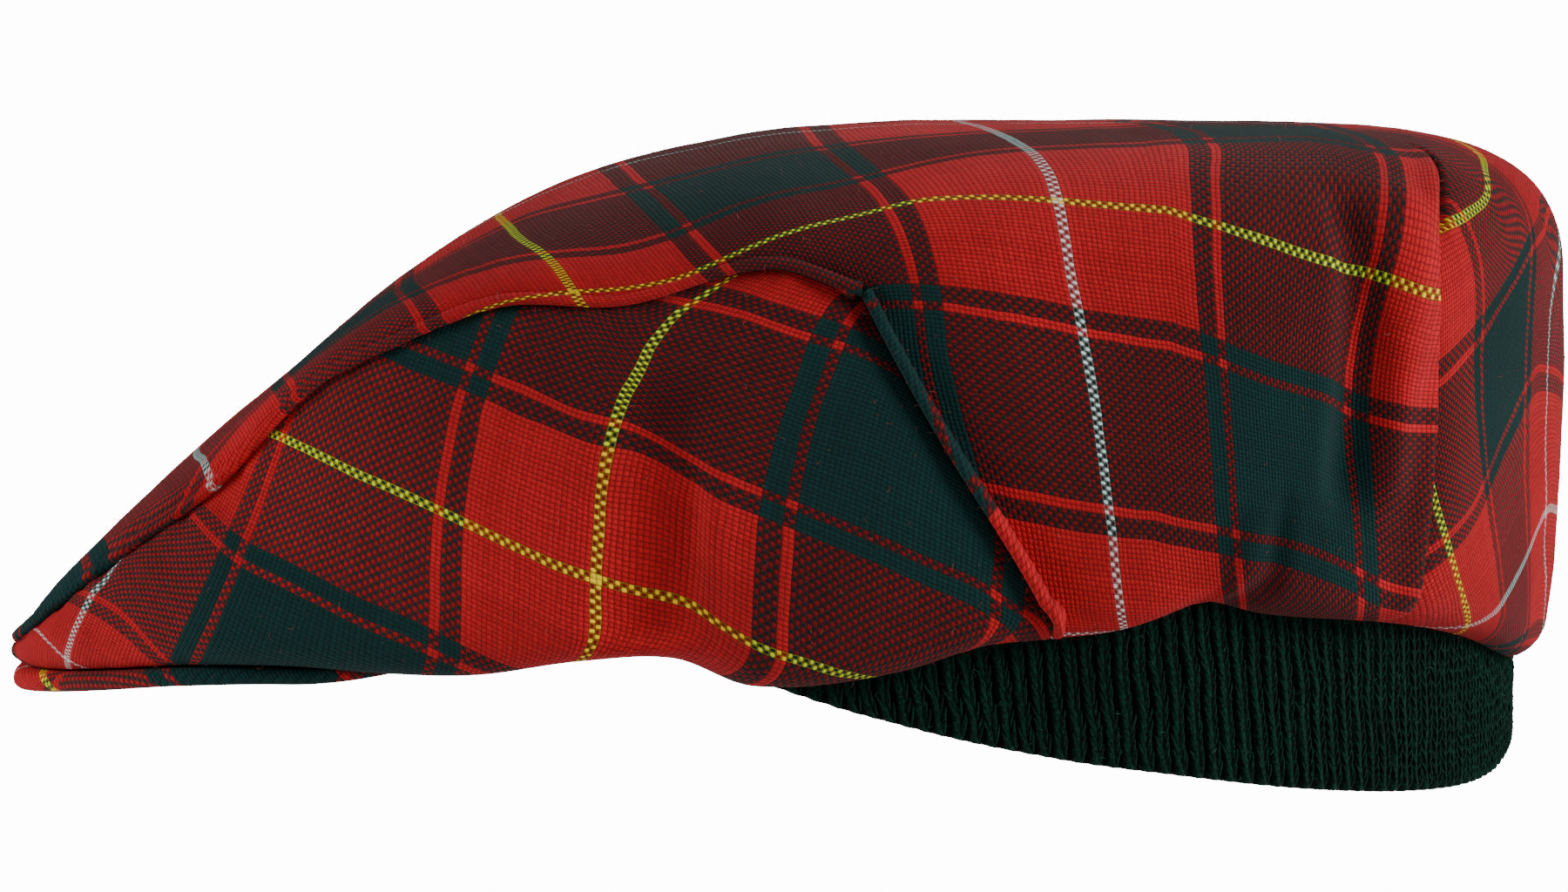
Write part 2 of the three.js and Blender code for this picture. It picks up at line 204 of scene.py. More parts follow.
def read_table(rows, place):
    """A smooth curve through the rows of a table."""
    keys, values = np.array(rows, float).T
    last = len(keys) - 1
    place = np.clip(place, keys[0], keys[-1])
    i = np.clip(np.searchsorted(keys, place) - 1, 0, last - 1)
    before = np.maximum(np.arange(last + 1) - 1, 0)
    after = np.minimum(np.arange(last + 1) + 1, last)
    slope = (values[after] - values[before]) / (keys[after] - keys[before])
    span = keys[i + 1] - keys[i]
    s = (place - keys[i]) / span
    return smooth_step_between(s, span, values[i], values[i + 1], slope[i], slope[i + 1])


def unit(vectors):
    return vectors / np.linalg.norm(vectors, axis=-1, keepdims=True)


def unit_or_none(vectors):
    """Unit vectors, but nothing where a vector has no length."""
    return vectors / np.maximum(np.linalg.norm(vectors, axis=-1, keepdims=True), 1e-9)


def run_along(points):
    """The length of a line up to each of its points."""
    return np.concatenate([[0], np.cumsum(np.linalg.norm(np.diff(points, axis=0), axis=1))])


def outline_point(outline, angle, inset=0.0):
    """A place on an outline seen from above: a front and a back quarter of a superellipse."""
    is_front = angle <= math.pi / 2
    power = np.where(is_front, 2 / outline["powers"][0], 2 / outline["powers"][1])
    reach = np.where(is_front, outline["front"] + inset, outline["back"] - inset)
    x = (outline["half"] - inset) * np.abs(np.sin(angle)) ** power
    y = outline["widest"] + (reach - outline["widest"]) * np.abs(np.cos(angle)) ** power
    return np.stack([x, y], -1)


def outward_of(outline, angle):
    """The way out of an outline, seen from above."""
    ahead = outline_point(outline, np.minimum(angle + 0.01, math.pi))
    behind = outline_point(outline, np.maximum(angle - 0.01, 0))
    run = unit(ahead - behind)
    return np.stack([run[..., 1], -run[..., 0]], -1)


def angle_at(outline, y):
    """The angle at which an outline passes a place along the cap."""
    is_front = y <= outline["widest"]
    reach = (outline["front"] if is_front else outline["back"]) - outline["widest"]
    power = outline["powers"][0 if is_front else 1] / 2
    turn = math.acos(min((y - outline["widest"]) / reach, 1) ** power)
    return turn if is_front else math.pi - turn


SEAM_TOP_ANGLE = angle_at(EDGE, SIDE_SEAM_TOP)
SEAM_FOOT_ANGLE = angle_at(FOOT, SIDE_SEAM_FOOT)
print("side seam from", round(math.degrees(SEAM_FOOT_ANGLE), 1), "to",
      round(math.degrees(SEAM_TOP_ANGLE), 1), "degrees")

# %% [markdown]
# Cloth that has been worn is never as smooth as its pattern. It swells beside a seam that draws it
# in, and it dents where nothing holds it. Each fold here is a rounded bump with a place round the
# cap, a width, a stretch of levels and a depth, so a fold can be moved or softened by itself. The
# dart at the back is sharper: the cloth in front rolls over, the cloth behind it dives under, and a
# dark pit opens at its upper end, where the stitching stops.

# %% Folds
# Each fold: its middle in degrees, how far it drifts for a whole level, its half width in degrees,
# its lowest and highest level, and how deep it presses the cloth in. A swell has a depth below 0.
FOLDS = {
    "swell before the dart": (120.5, 6, 5.5, 0.4, 1.5, -2.6),
    "soft fold before the dart": (114, 0, 5.5, 0.4, 1.5, 4.4),
    "dent over the ear": (97, 0, 8, 0, 0.5, 1.4),
    "hollow of the side panel": (69.5, 0, 4.4, 0.12, 0.85, 4.2),
}
# The dart: where its line is in degrees, how far the lip before it rolls out, how deep the cloth
# behind it dives, and how deep the pit is.
DART_AT = 126.5
DART_LIP = 1.1
DART_DIVE = 2.3
DART_PIT = 4.6


def smoothstep(value, low, high):
    s = np.clip((value - low) / (high - low), 0, 1)
    return s * s * (3 - 2 * s)


def bump(value, low, high):
    """A rounded bump from 0 through 1 to 0 between two values."""
    return np.sin(math.pi * np.clip((value - low) / (high - low), 0, 1)) ** 2


def stretch(value, low, high):
    """Full between two values, fading over the last fifth at each end."""
    fade = (high - low) / 5
    return smoothstep(value, low, low + fade) * (1 - smoothstep(value, high - fade, high))


# Over the shoulder the dart turns back by so many degrees at each level.
DART_TURN = [(1.1, 0), (1.3, 2.5), (1.5, 8.5), (1.62, 12.5), (1.8, 11), (2, 0)]


def dart_depth(degrees, level):
    """The rolled lip in front of the dart and the cloth that dives under behind it."""
    past = degrees - DART_AT - read_table(DART_TURN, level)
    behind = smoothstep(past, -0.5, 0.3)
    # On the shoulder the lip and the dive are shallower.
    soft = stretch(level, 0.75, 1.3)
    lip = (0.6 * soft - DART_LIP) * np.exp(-((past + 1.2) / 2.2) ** 2) * (1 - behind)
    dive = (DART_DIVE - 1.2 * soft) * behind * np.exp(-np.maximum(past, 0) / 2.6)
    length = smoothstep(level, -0.05, 0.12) * (1 - smoothstep(level, 1.45, 1.7))
    pit = bump(past, -0.6, 3.2) * smoothstep(level, 1.18, 1.3) * (1 - smoothstep(level, 1.56, 1.68))
    return (lip + dive) * length + DART_PIT * pit


def fold_depth(angle, level):
    """How deep the folds press the cloth in at a place."""
    degrees = np.degrees(angle)
    depth = dart_depth(degrees, level)
    for middle, drift, width, low, high, pressed in FOLDS.values():
        off = degrees - (middle + drift * (level - 0.9))
        depth = depth + pressed * bump(off, -width, width) * stretch(level, low, high)
    return depth


print("folds", list(FOLDS), "and the dart at", DART_AT)


# %% The wall and the top
def hem_height(angle):
    return read_table(HEM_LINE, outline_point(FOOT, angle)[..., 1])


def wall_point(angle, level, depth):
    """The wall, from the turned-under hem at level 0 to the edge at level 1."""
    edge = outline_point(EDGE, angle, depth)
    foot = outline_point(FOOT, angle, depth)
    hem = outline_point(HEM, angle)
    edge_z = read_table(EDGE_LINE, outline_point(EDGE, angle)[..., 1])
    hem_z = hem_height(angle) + depth
    height = edge_z - hem_z
    turn = np.minimum(TURN_HEIGHT, height * 0.6) - depth / 2
    swing = np.clip(level / TURN_SHARE, 0, 1) * (math.pi / 2)
    under = foot + (hem - foot) * (1 - np.sin(swing))[..., None]
    under_z = hem_z + turn * (1 - np.cos(swing))
    climb = (level - TURN_SHARE) / (1 - TURN_SHARE)
    lip_share = smoothstep(height, 10, 40)
    stand = (LIP_BULGE + (WALL_BULGE - LIP_BULGE) * lip_share) * np.sin(math.pi * np.clip(climb, 0, 1))
    upright = foot + (edge - foot) * climb[..., None] + outward_of(FOOT, angle) * stand[..., None]
    upright_z = hem_z + turn + (height - turn) * climb
    is_under = level < TURN_SHARE
    plan = np.where(is_under[..., None], under, upright)
    return np.concatenate([plan, np.where(is_under, under_z, upright_z)[..., None]], -1)


def top_point(angle, level, depth):
    """The top, from the edge at level 1 to the centre line at level 2."""
    outer_edge = outline_point(EDGE, angle)
    edge = outline_point(EDGE, angle, depth)
    pull = np.maximum((outer_edge[..., 1] - SPINE_HOLD) / (EDGE["back"] - SPINE_HOLD), 0) ** 2
    spine_y = edge[..., 1] - pull * (EDGE["back"] - SPINE_END)
    spine_z = read_table(CENTRE_LINE, spine_y) - depth
    edge_z = read_table(EDGE_LINE, outer_edge[..., 1])
    power = 2 / read_table(ROUNDNESS, outer_edge[..., 1])
    swing = np.maximum(level - 1, 0) * (math.pi / 2)
    out = np.abs(np.cos(swing)) ** power
    up = np.sin(swing) ** power
    y = spine_y + (edge[..., 1] - spine_y) * out
    return np.stack([edge[..., 0] * out, y, edge_z + (spine_z - edge_z) * up], -1)


def plain_point(angle, level, depth=0.0):
    """A place on the cloth before it is folded."""
    on_wall = wall_point(angle, np.minimum(level, 1), depth)
    on_top = top_point(angle, np.maximum(level, 1), depth)
    return np.where((level <= 1)[..., None], on_wall, on_top)


def cloth_point(angle, level, depth=0.0):
    """A place on the cloth in millimetres. Depth 0 is its face and CLOTH is its back."""
    angle, level = np.broadcast_arrays(np.asarray(angle, float), np.asarray(level, float))
    point = plain_point(angle, level, depth)
    press = fold_depth(angle, level)
    outward = outward_of(EDGE, angle)
    tilt = np.maximum(level - 1, 0) * (math.pi / 2)
    push = np.stack([outward[..., 0] * np.cos(tilt), outward[..., 1] * np.cos(tilt), np.sin(tilt)], -1)
    return point - push * press[..., None]


for title, angle, level in [("crown", 1.55, 2.0), ("brow", 0.0, 1.0), ("temple", 1.3, 0.0)]:
    print(title, cloth_point(angle, level).round(1))

# %% [markdown]
# ## A fine net over the cloth
#
# The net of a panel is made of columns that run up the cloth. If the columns and rows were equal
# steps of angle and level, the squares would be wide on the flat top and thin at the shoulder, and
# the relief would be coarse where it shows most. Equal steps of measured length along each line make
# squares of nearly one size, about two millimetres or less. The same measured lengths say how far
# each place is from the centre line, and this is what the tartan is laid out by.


# %% Equal steps along a line
def equal_steps(points, count, crowd=None):
    """Shares 0..1 of a densely sampled line at which count equal steps fall. Crowd packs them."""
    step = np.linalg.norm(np.diff(points, axis=0), axis=-1)
    if crowd is not None:
        step = step * crowd
    run = np.concatenate([[0], np.cumsum(step)])
    shares = np.linspace(0, 1, len(points))
    return np.interp(np.linspace(0, run[-1], count + 1), run, shares)


def angles_between(outline, first, last, count, crowd_at=None):
    """Angles at equal steps round an outline, closer together beside the dart if asked."""
    dense = np.linspace(first, last, 3001)
    crowd = None
    if crowd_at is not None:
        middle = np.degrees(dense[1:] + dense[:-1]) / 2
        crowd = 1 + 2.2 * np.exp(-((middle - crowd_at) / 3.0) ** 2)
    shares = equal_steps(outline_point(outline, dense), count, crowd)
    return first + (last - first) * shares


def side_seam_angle(level):
    """Angle of the upright side seam at a level of the wall."""
    bow = SIDE_SEAM_BOW * np.sin(math.pi * level)
    return SEAM_FOOT_ANGLE + (SEAM_TOP_ANGLE - SEAM_FOOT_ANGLE) * level + bow


def levels_up(angle, low, high, rows):
    """Levels at equal measured steps up one or more columns, and the length still to go."""
    shares = np.linspace(0, 1, 401)
    level = low[:, None] + (high[:, None] - low[:, None]) * shares
    dense = cloth_point(angle[:, None], level)
    step = np.linalg.norm(np.diff(dense, axis=1), axis=-1)
    run = np.concatenate([np.zeros((len(angle), 1)), np.cumsum(step, 1)], 1)
    goals = run[:, -1:] * np.linspace(0, 1, rows + 1)
    found = np.stack([np.interp(g, r, l) for g, r, l in zip(goals, run, level)])
    return found, run[:, -1:] - goals


# %% Columns of half the crown panel
FRONT_COLUMNS, SLANT_COLUMNS, BACK_COLUMNS = 112, 38, 128
CROWN_ROWS = 80
front_angles = angles_between(EDGE, 0.0, SEAM_TOP_ANGLE, FRONT_COLUMNS)
back_angles = angles_between(FOOT, SEAM_FOOT_ANGLE, math.pi, BACK_COLUMNS, crowd_at=DART_AT)
# Along the slanting side seam each column starts at a lower level than the one before.
slant_lows = 1 - np.linspace(0, 1, SLANT_COLUMNS + 1)[1:]
crown_angle = np.concatenate([front_angles, side_seam_angle(slant_lows), back_angles[1:]])
crown_low = np.concatenate([np.ones(FRONT_COLUMNS + 1), slant_lows, np.zeros(BACK_COLUMNS)])
crown_level, crown_over = levels_up(crown_angle, crown_low, np.full(len(crown_low), 2.0), CROWN_ROWS)
# Near the dart the columns turn back with it over the shoulder.
crown_degrees = np.degrees(crown_angle)
near_dart = smoothstep(crown_degrees, 94, DART_AT) * (1 - smoothstep(crown_degrees, DART_AT, 180))
crown_turn = np.radians(read_table(DART_TURN, crown_level)) * near_dart[:, None]
crown_grid_angle = crown_angle[:, None] + crown_turn

# A table of distances from the centre line, with two rows a degree and a hundred steps a level.
OVER_FROM, ROWS_A_DEGREE, STEPS_A_LEVEL = 90, 2, 100
over_rows, over_steps = (180 - OVER_FROM) * ROWS_A_DEGREE, 2 * STEPS_A_LEVEL
over_angles, over_levels = np.meshgrid(
    np.radians(np.linspace(OVER_FROM, 180, over_rows + 1)), np.linspace(2, 0, over_steps + 1), indexing="ij")
over_lengths = np.linalg.norm(np.diff(plain_point(over_angles, over_levels), axis=1), axis=-1)
over_table = np.concatenate([np.zeros((over_rows + 1, 1)), np.cumsum(over_lengths, axis=1)], axis=1)


def over_at(angle, level):
    """Distance from the centre line, measured down the cloth at one angle."""
    row = np.clip((np.degrees(angle) - OVER_FROM) * ROWS_A_DEGREE, 0, over_rows - 0.001)
    column = np.clip((2 - level) * STEPS_A_LEVEL, 0, over_steps - 0.001)
    i, j = row.astype(int), column.astype(int)
    f, g = row - i, column - j
    near = over_table[i, j] * (1 - g) + over_table[i, j + 1] * g
    far = over_table[i + 1, j] * (1 - g) + over_table[i + 1, j + 1] * g
    return near * (1 - f) + far * f


crown_over = np.where(near_dart[:, None] > 0, over_at(crown_grid_angle, crown_level), crown_over)
print("half crown", crown_level.shape, "longest column", round(float(crown_over.max()), 1), "mm")

# %% [markdown]
# ## Where each thread runs
#
# Tartan is laid out in threads, not in millimetres. The same stripe order is used along and across
# the cloth, and where cloth is stretched over a form its threads open or close a little. So each
# place on a panel gets two thread numbers, kept in its UV map: one counts the threads that run
# lengthwise, from the centre line outwards, and the other counts those that run crosswise, from the
# middle of the head backwards.
#
# A flat projection would smear the pattern on the walls, and an automatic unwrap would not follow
# the grain. The tables here say where a few threads lie that are easy to see, such as the white and
# the yellow ones, and every thread between them is spaced smoothly. Half of the stripe order is 98
# threads: a white line is at 0 and a yellow line is at 98. The crown is one piece of cloth, so on the
# wearer's right its numbers carry on past the centre line, and only the shape is mirrored.

# %% Threads of the crown
# Distance from the centre line at which the lengthwise threads of this number lie, by angle.
LENGTHWISE_AT = {
    0: [(0, 0), (40, 5), (50, 10), (57, 15), (63, 19), (68, 21), (74.6, 21), (80, 19), (85.2, 14),
        (88.4, 9), (93, 4), (109, 0), (127, 0)],
    29: [(0, 20), (40, 26), (50, 38), (57, 48), (63, 54.5), (65.5, 58.5), (68.2, 60.2), (71.4, 59.3),
         (74.6, 56.5), (77.3, 52), (80, 48.5), (82.5, 45), (85.2, 40.3), (88.4, 32), (93, 26), (101, 21),
         (109, 18), (118, 18), (127, 21)],
    70: [(0, 60), (30, 64), (38, 60), (41, 53), (44.5, 56.5), (49, 61), (53.7, 64.5), (56.8, 70), (60.7, 75),
         (63.4, 77.2), (65.6, 80), (68.5, 82), (71.5, 81.2), (75.3, 78.4), (77.3, 75.6), (79.1, 71.8),
         (80.5, 69.4), (82.7, 64.5), (84.5, 60.5), (88.4, 56), (91, 53), (95, 51.5), (101, 50), (109, 48),
         (118, 47), (123, 50), (127, 53)],
    98: [(0, 90), (40, 80), (50, 78), (60, 81.5), (65, 85.4), (70, 89.6), (74, 88), (77.3, 85.3),
         (79.5, 81.2), (84, 79.7), (88.6, 82), (93.5, 85.6), (99.6, 88.2), (106, 90.3), (110.5, 91),
         (114.5, 89.8), (117, 90.2), (120, 92), (122.5, 91.7), (127, 90)],
    128: [(0, 110), (50, 98), (60, 98), (70, 106), (74, 104), (79.3, 99), (86, 102.8), (90, 107.2),
          (94, 109), (101, 112), (112, 113.5), (119, 115), (127, 112)],
    166: [(0, 129), (60, 129), (70, 136), (79.3, 128), (86, 131.5), (90, 135.2), (94, 136.7),
          (102, 138), (109, 138.5), (114, 139.5), (121, 141), (127, 140)],
    196: [(0, 156), (60, 156), (79.3, 155), (86, 160), (93.5, 161), (109, 164), (127, 167)],
}
# Past the last of them the next line, of this number, lies so many millimetres further out.
LAST_THREAD, LAST_STEP = 226, 25
# Places along the cap of the crosswise threads of this number, by distance from the centre line.
CROSSWISE_OVER = [0, 35, 55, 70, 83, 95, 111, 132, 160]
CROSSWISE_AT = {
    -250: [-168, -167, -164, -160, -157, -155, -153, -151, -150],
    -196: [-134, -132.5, -129, -125.5, -122, -119, -116, -113, -110],
    -165: [-117.5, -116.5, -114.5, -112, -109, -107, -105, -102.5, -100],
    -127: [-98, -97, -96, -93, -88, -84, -81, -78, -76],
    -98: [-82, -80, -77.5, -74.5, -67, -61, -57, -54, -52],
    -68: [-60.5, -58, -55.2, -51.2, -46, -37.5, -35, -30, -26],
    -30: [-28, -26.5, -24.5, -19.7, -13.5, -9.8, -7.7, -2, 3],
    0: [-0.8, 4, 8.8, 12.7, 14.3, 16, 19.1, 22, 25.4],
    31: [31, 39.5, 42.2, 41.6, 40.9, 40.7, 41.8, 43.4, 46],
    67: [58, 64, 68.5, 68.5, 67, 64, 61.5, 63, 65],
    98: [80, 85, 90, 90, 89, 87, 85, 86, 87],
}
# Behind the dart the cloth is turned on the head. Rows are angles and columns are distances.
BEHIND_ANGLES = [127, 135, 142, 150, 157, 165, 180]
BEHIND_OVER = [0, 30, 55, 80, 106, 120, 130, 140, 165]
BEHIND_LENGTHWISE = [
    [0, 33, 60, 86, 92, 98, 103, 108, 122],
    [0, 32, 56, 68, 70, 83, 92, 101, 118],
    [0, 30, 50, 46, 47, 62, 77, 93, 112],
    [0, 27, 40, 24, 25, 33, 48, 60, 98],
    [0, 20, 16, -1, -1, 8, 20, 32, 62],
    [0, 9, 6, -13, -15, -6, 2, 12, 32],
    [0, 0, -6, -36, -42, -34, -26, -16, 4],
]
BEHIND_THREADS = [65, 98, 128, 166, 196, 246]
BEHIND_CROSSWISE = [
    [0, 79, 105, 134, 158, 190],
    [0, 72, 93, 122, 148, 180],
    [0, 64.5, 82, 106, 139, 172],
    [0, 53, 71, 92, 125, 160],
    [0, 46, 64, 88, 113, 152],
    [0, 39.5, 57, 86, 109, 148],
    [0, 30, 53, 84, 107, 146],
]


def pick(table, index):
    """For each place, the entry of the last axis at its own index."""
    return np.take_along_axis(table, index[..., None], -1)[..., 0]


def between_lines(lines, threads, place):
    """Thread number at a place, where the lines of the given numbers lie at the given places.
    Lines has one more axis than place. Past the outer lines the spacing stays the same."""
    lines = np.asarray(lines, float)
    threads = np.asarray(threads, float)
    gap = np.diff(lines, axis=-1)
    rate = np.diff(threads) / gap
    slope = np.concatenate([rate[..., :1], (rate[..., 1:] + rate[..., :-1]) / 2, rate[..., -1:]], -1)
    i = np.clip((place[..., None] >= lines[..., 1:-1]).sum(-1), 0, len(threads) - 2)
    low, span = pick(lines, i), pick(gap, i)
    slope_low, slope_high = pick(slope, i), pick(slope, i + 1)
    s = np.clip((place - low) / span, 0, 1)
    past = place - low - s * span
    inner = smooth_step_between(s, span, threads[i], threads[i + 1], slope_low, slope_high)
    return inner + past * np.where(past < 0, slope_low, slope_high)


def row_table(keys, rows, place):
    """Every column of a table read smoothly at a place between its rows."""
    columns = np.array(rows, float).T
    return np.stack([read_table(list(zip(keys, column)), place) for column in columns], -1)


def along_row(keys, values, place):
    """A smooth reading between the columns of a table whose values differ from place to place."""
    keys = np.array(keys, float)
    slope = np.gradient(values, keys, axis=-1)
    i = np.clip(np.searchsorted(keys, place) - 1, 0, len(keys) - 2)
    span = keys[i + 1] - keys[i]
    s = np.clip((place - keys[i]) / span, 0, 1)
    first, second = pick(values, i), pick(values, i + 1)
    return smooth_step_between(s, span, first, second, pick(slope, i), pick(slope, i + 1))


def rounded_table(rows, place, reach):
    """A table whose corners are rounded off over the reach on each side."""
    steps = np.linspace(-reach, reach, 9)
    return sum(read_table(rows, place + step) for step in steps) / len(steps)


def crown_threads(angle, over, point, behind):
    """Lengthwise and crosswise thread numbers on the crown panel, on the wearer's left."""
    degrees = np.degrees(angle)
    lines = [rounded_table(row, degrees, 2.5) for row in LENGTHWISE_AT.values()]
    lines.append(lines[-1] + LAST_STEP)
    reach = point[..., 0] if behind else over
    lengthwise = between_lines(np.stack(lines, -1), [*LENGTHWISE_AT, LAST_THREAD], reach)
    rows = [list(zip(CROSSWISE_OVER, row)) for row in CROSSWISE_AT.values()]
    across = [rounded_table(row, over, 5) for row in rows]
    crosswise = between_lines(np.stack(across, -1), list(CROSSWISE_AT), point[..., 1])
    if behind:
        # Near the centre line the same lines carry on, and further out the turned cloth takes over.
        spots = row_table(BEHIND_ANGLES, BEHIND_LENGTHWISE, degrees)
        turned = along_row(BEHIND_OVER, spots, over)
        places = row_table(BEHIND_ANGLES, BEHIND_CROSSWISE, degrees)
        down = between_lines(places, BEHIND_THREADS, over)
        share = smoothstep(over, 20, 55)
        lengthwise = lengthwise * (1 - share) + turned * share
        crosswise = crosswise * (1 - share) + down * share
    return np.stack([lengthwise, crosswise], -1)


dart_column = int(np.argmin(np.abs(crown_degrees - (DART_AT + 0.1))))
crown_base = cloth_point(crown_grid_angle, crown_level)
crown_uv_front = crown_threads(crown_grid_angle, crown_over, crown_base, behind=False)
crown_uv_behind = crown_threads(crown_grid_angle, crown_over, crown_base, behind=True)


def on_the_right(threads, centre):
    """Thread numbers that carry on past the centre line once their net has been mirrored."""
    return np.stack([threads[..., 0] - 2 * centre, threads[..., 1]], -1)


centre_front = crown_uv_front[:, -1:, 0]
centre_behind = np.interp(crown_over, crown_over[-1, ::-1], crown_uv_behind[-1, ::-1, 0])
crown_uv_front_right = on_the_right(crown_uv_front, centre_front)
crown_uv_behind_right = on_the_right(crown_uv_behind, centre_behind)
print("lengthwise threads across half the crown", round(float(crown_uv_front[..., 0].max())))
print("crosswise threads", crown_uv_front[..., 1].min().round(), "to", crown_uv_front[..., 1].max().round())

# %% [markdown]
# ## From a net to a piece of cloth
#
# A piece of cloth has a face, a back and a rim between them. The face and the back are two nets of
# the same squares, one cloth thickness apart, and the rim is a half-round strip that joins them. A
# Solidify modifier could give the thickness, but it knows nothing of the hem's turn or of the grain,
# and the finished mesh should be plain. So the nets are written straight into one mesh, corners that
# fall on one point are made one, and every corner keeps its own thread numbers in the UV map.


# %% Building a mesh from nets
def net(points, threads, flip=False):
    return {"points": np.asarray(points, float), "threads": np.asarray(threads, float), "flip": flip}


def mirrored(piece_net):
    """The same net on the wearer's right. Lengthwise threads count the other way there."""
    points = piece_net["points"] * [-1, 1, 1]
    threads = piece_net["threads"] * [-1, 1]
    return net(points, threads, not piece_net["flip"])


def rim_net(face, back, away, threads, flip=False, turns=4, threads_away=0.0):
    """A half-round strip from the face's edge over to the back's edge. Threads_away is how the thread
    numbers change for each millimetre past the edge."""
    middle = (face + back) / 2
    out = (face - back) / 2
    size = np.linalg.norm(out, axis=-1, keepdims=True)
    swing = np.linspace(0, math.pi, turns + 1)
    rows = [middle + out * math.cos(t) + away * size * 0.8 * math.sin(t) for t in swing]
    numbers = [threads + threads_away * size * t for t in swing]
    return net(np.stack(rows, 1), np.stack(numbers, 1), flip)


# The edges of a net: where each lies, the line of places beside it, and whether its rim is flipped.
EVERY = slice(None)
EDGES = {
    "low": ((EVERY, 0), (EVERY, 1), True),
    "high": ((EVERY, -1), (EVERY, -2), False),
    "first": (0, 1, False),
    "last": (-1, -2, True),
}


def cloth_nets(face, back, threads, edges, bulge=1.0, turns=4, thread_size=None):
    """The face and the back of a piece of cloth, and the rims along some of its edges. Where the
    size of a thread is given, the pattern carries on round the rim."""
    nets = [net(face, threads), net(back, threads, flip=True)]
    for edge in edges:
        at, beside, flip = EDGES[edge]
        away = unit_or_none(face[at] - face[beside])
        further = 0.0 if thread_size is None else away[:, :2] / thread_size
        nets.append(rim_net(face[at], back[at], away * bulge, threads[at], flip, turns, further))
    return nets


# Corners closer than this, in millimetres, are one corner.
WELD = 0.002


def mesh_piece(name, nets):
    """One mesh object in metres from nets in millimetres."""
    points, uvs, faces = [], [], []
    start = 0
    for piece_net in nets:
        rows, columns = piece_net["points"].shape[:2]
        points.append(piece_net["points"].reshape(-1, 3))
        uvs.append(piece_net["threads"].reshape(-1, 2))
        numbers = start + np.arange(rows * columns).reshape(rows, columns)
        quads = np.stack([numbers[:-1, :-1], numbers[1:, :-1], numbers[1:, 1:], numbers[:-1, 1:]], -1)
        quads = quads.reshape(-1, 4)
        faces.append(quads[:, ::-1] if piece_net["flip"] else quads)
        start += rows * columns
    points, uvs, faces = np.concatenate(points), np.concatenate(uvs), np.concatenate(faces)
    keys = np.round(points / WELD).astype(np.int64)
    _, first, shared = np.unique(keys, axis=0, return_index=True, return_inverse=True)
    shared = shared.reshape(-1)
    welded = shared[faces]
    corners, loops, counts = [], [], []
    for face, numbers in zip(welded.tolist(), faces.tolist()):
        kept = [k for k in range(4) if face[k] != face[k - 1]]
        if len({face[k] for k in kept}) >= 3:
            corners += [face[k] for k in kept]
            loops += [numbers[k] for k in kept]
            counts.append(len(kept))
    mesh = bpy.data.meshes.new(name)
    mesh.vertices.add(len(first))
    mesh.vertices.foreach_set("co", (points[first] * MM).astype(np.float32).ravel())
    mesh.loops.add(len(corners))
    mesh.loops.foreach_set("vertex_index", corners)
    mesh.polygons.add(len(counts))
    mesh.polygons.foreach_set("loop_start", np.concatenate([[0], np.cumsum(counts)[:-1]]))
    mesh.polygons.foreach_set("loop_total", counts)
    mesh.polygons.foreach_set("use_smooth", np.ones(len(counts), bool))
    mesh.update(calc_edges=True)
    layer = mesh.uv_layers.new(name="threads")
    layer.data.foreach_set("uv", uvs[loops].astype(np.float32).ravel())
    mesh.validate()
    print(name, len(first), "corners", sum(count - 2 for count in counts), "triangles")
    return new_object(name, mesh)


def normals_of(points):
    """The way out of a net of the wearer's left side."""
    return unit_or_none(np.cross(np.gradient(points, axis=0), np.gradient(points, axis=1)))


def distance_to(points, line):
    """Distance of every place on a net to a line of points, in millimetres."""
    flat = points.reshape(-1, 3)
    nearest = np.full(len(flat), 1e9)
    for k in range(0, len(line), 60):
        gap = np.linalg.norm(flat[:, None] - line[None, k:k + 60], axis=-1).min(1)
        nearest = np.minimum(nearest, gap)
    return nearest.reshape(points.shape[:-1])


def wander(points, size, seed):
    """Smooth wandering between -1 and 1 that depends on place, with a fixed seed. It adds waves of
    the given size, of a finer one and of a still finer one, each weaker than the one before."""
    dice = np.random.default_rng(seed)
    total = np.zeros(points.shape[:-1])
    weight = 0.0
    for octave in range(3):
        waves, strength = 2 * math.pi * 1.8**octave / size, 0.6**octave
        for _ in range(5):
            direction = dice.normal(size=3)
            direction /= np.linalg.norm(direction)
            phase = dice.uniform(0, 2 * math.pi)
            total += np.sin(points @ direction * waves + phase) * strength
        weight += strength * 2.2
    return total / weight


# %% The seam lines
top_seam = cloth_point(angles_between(EDGE, 0.0, SEAM_TOP_ANGLE, 500), np.full(501, 1.0))
seam_levels = np.linspace(1, 0, 240)
side_seam = cloth_point(side_seam_angle(seam_levels), seam_levels)
print("top seam", round(run_along(top_seam)[-1]), "mm on each side")
print("side seam", round(run_along(side_seam)[-1]), "mm")

# %% [markdown]
# ## The crown panel
#
# The crown is one long piece of cloth from the brow to the nape. It swells a little beside the top
# seam, is drawn in beside the upright side seam, and wanders by fractions of a millimetre everywhere,
# as worn wool does. It could be one net all over, but half of it and a mirror image are simpler. They
# are joined along the centre line, where the thread numbers run on from one to the other. The part
# behind the dart has its own thread numbers, because the dart brings two distant parts of the cloth
# together.


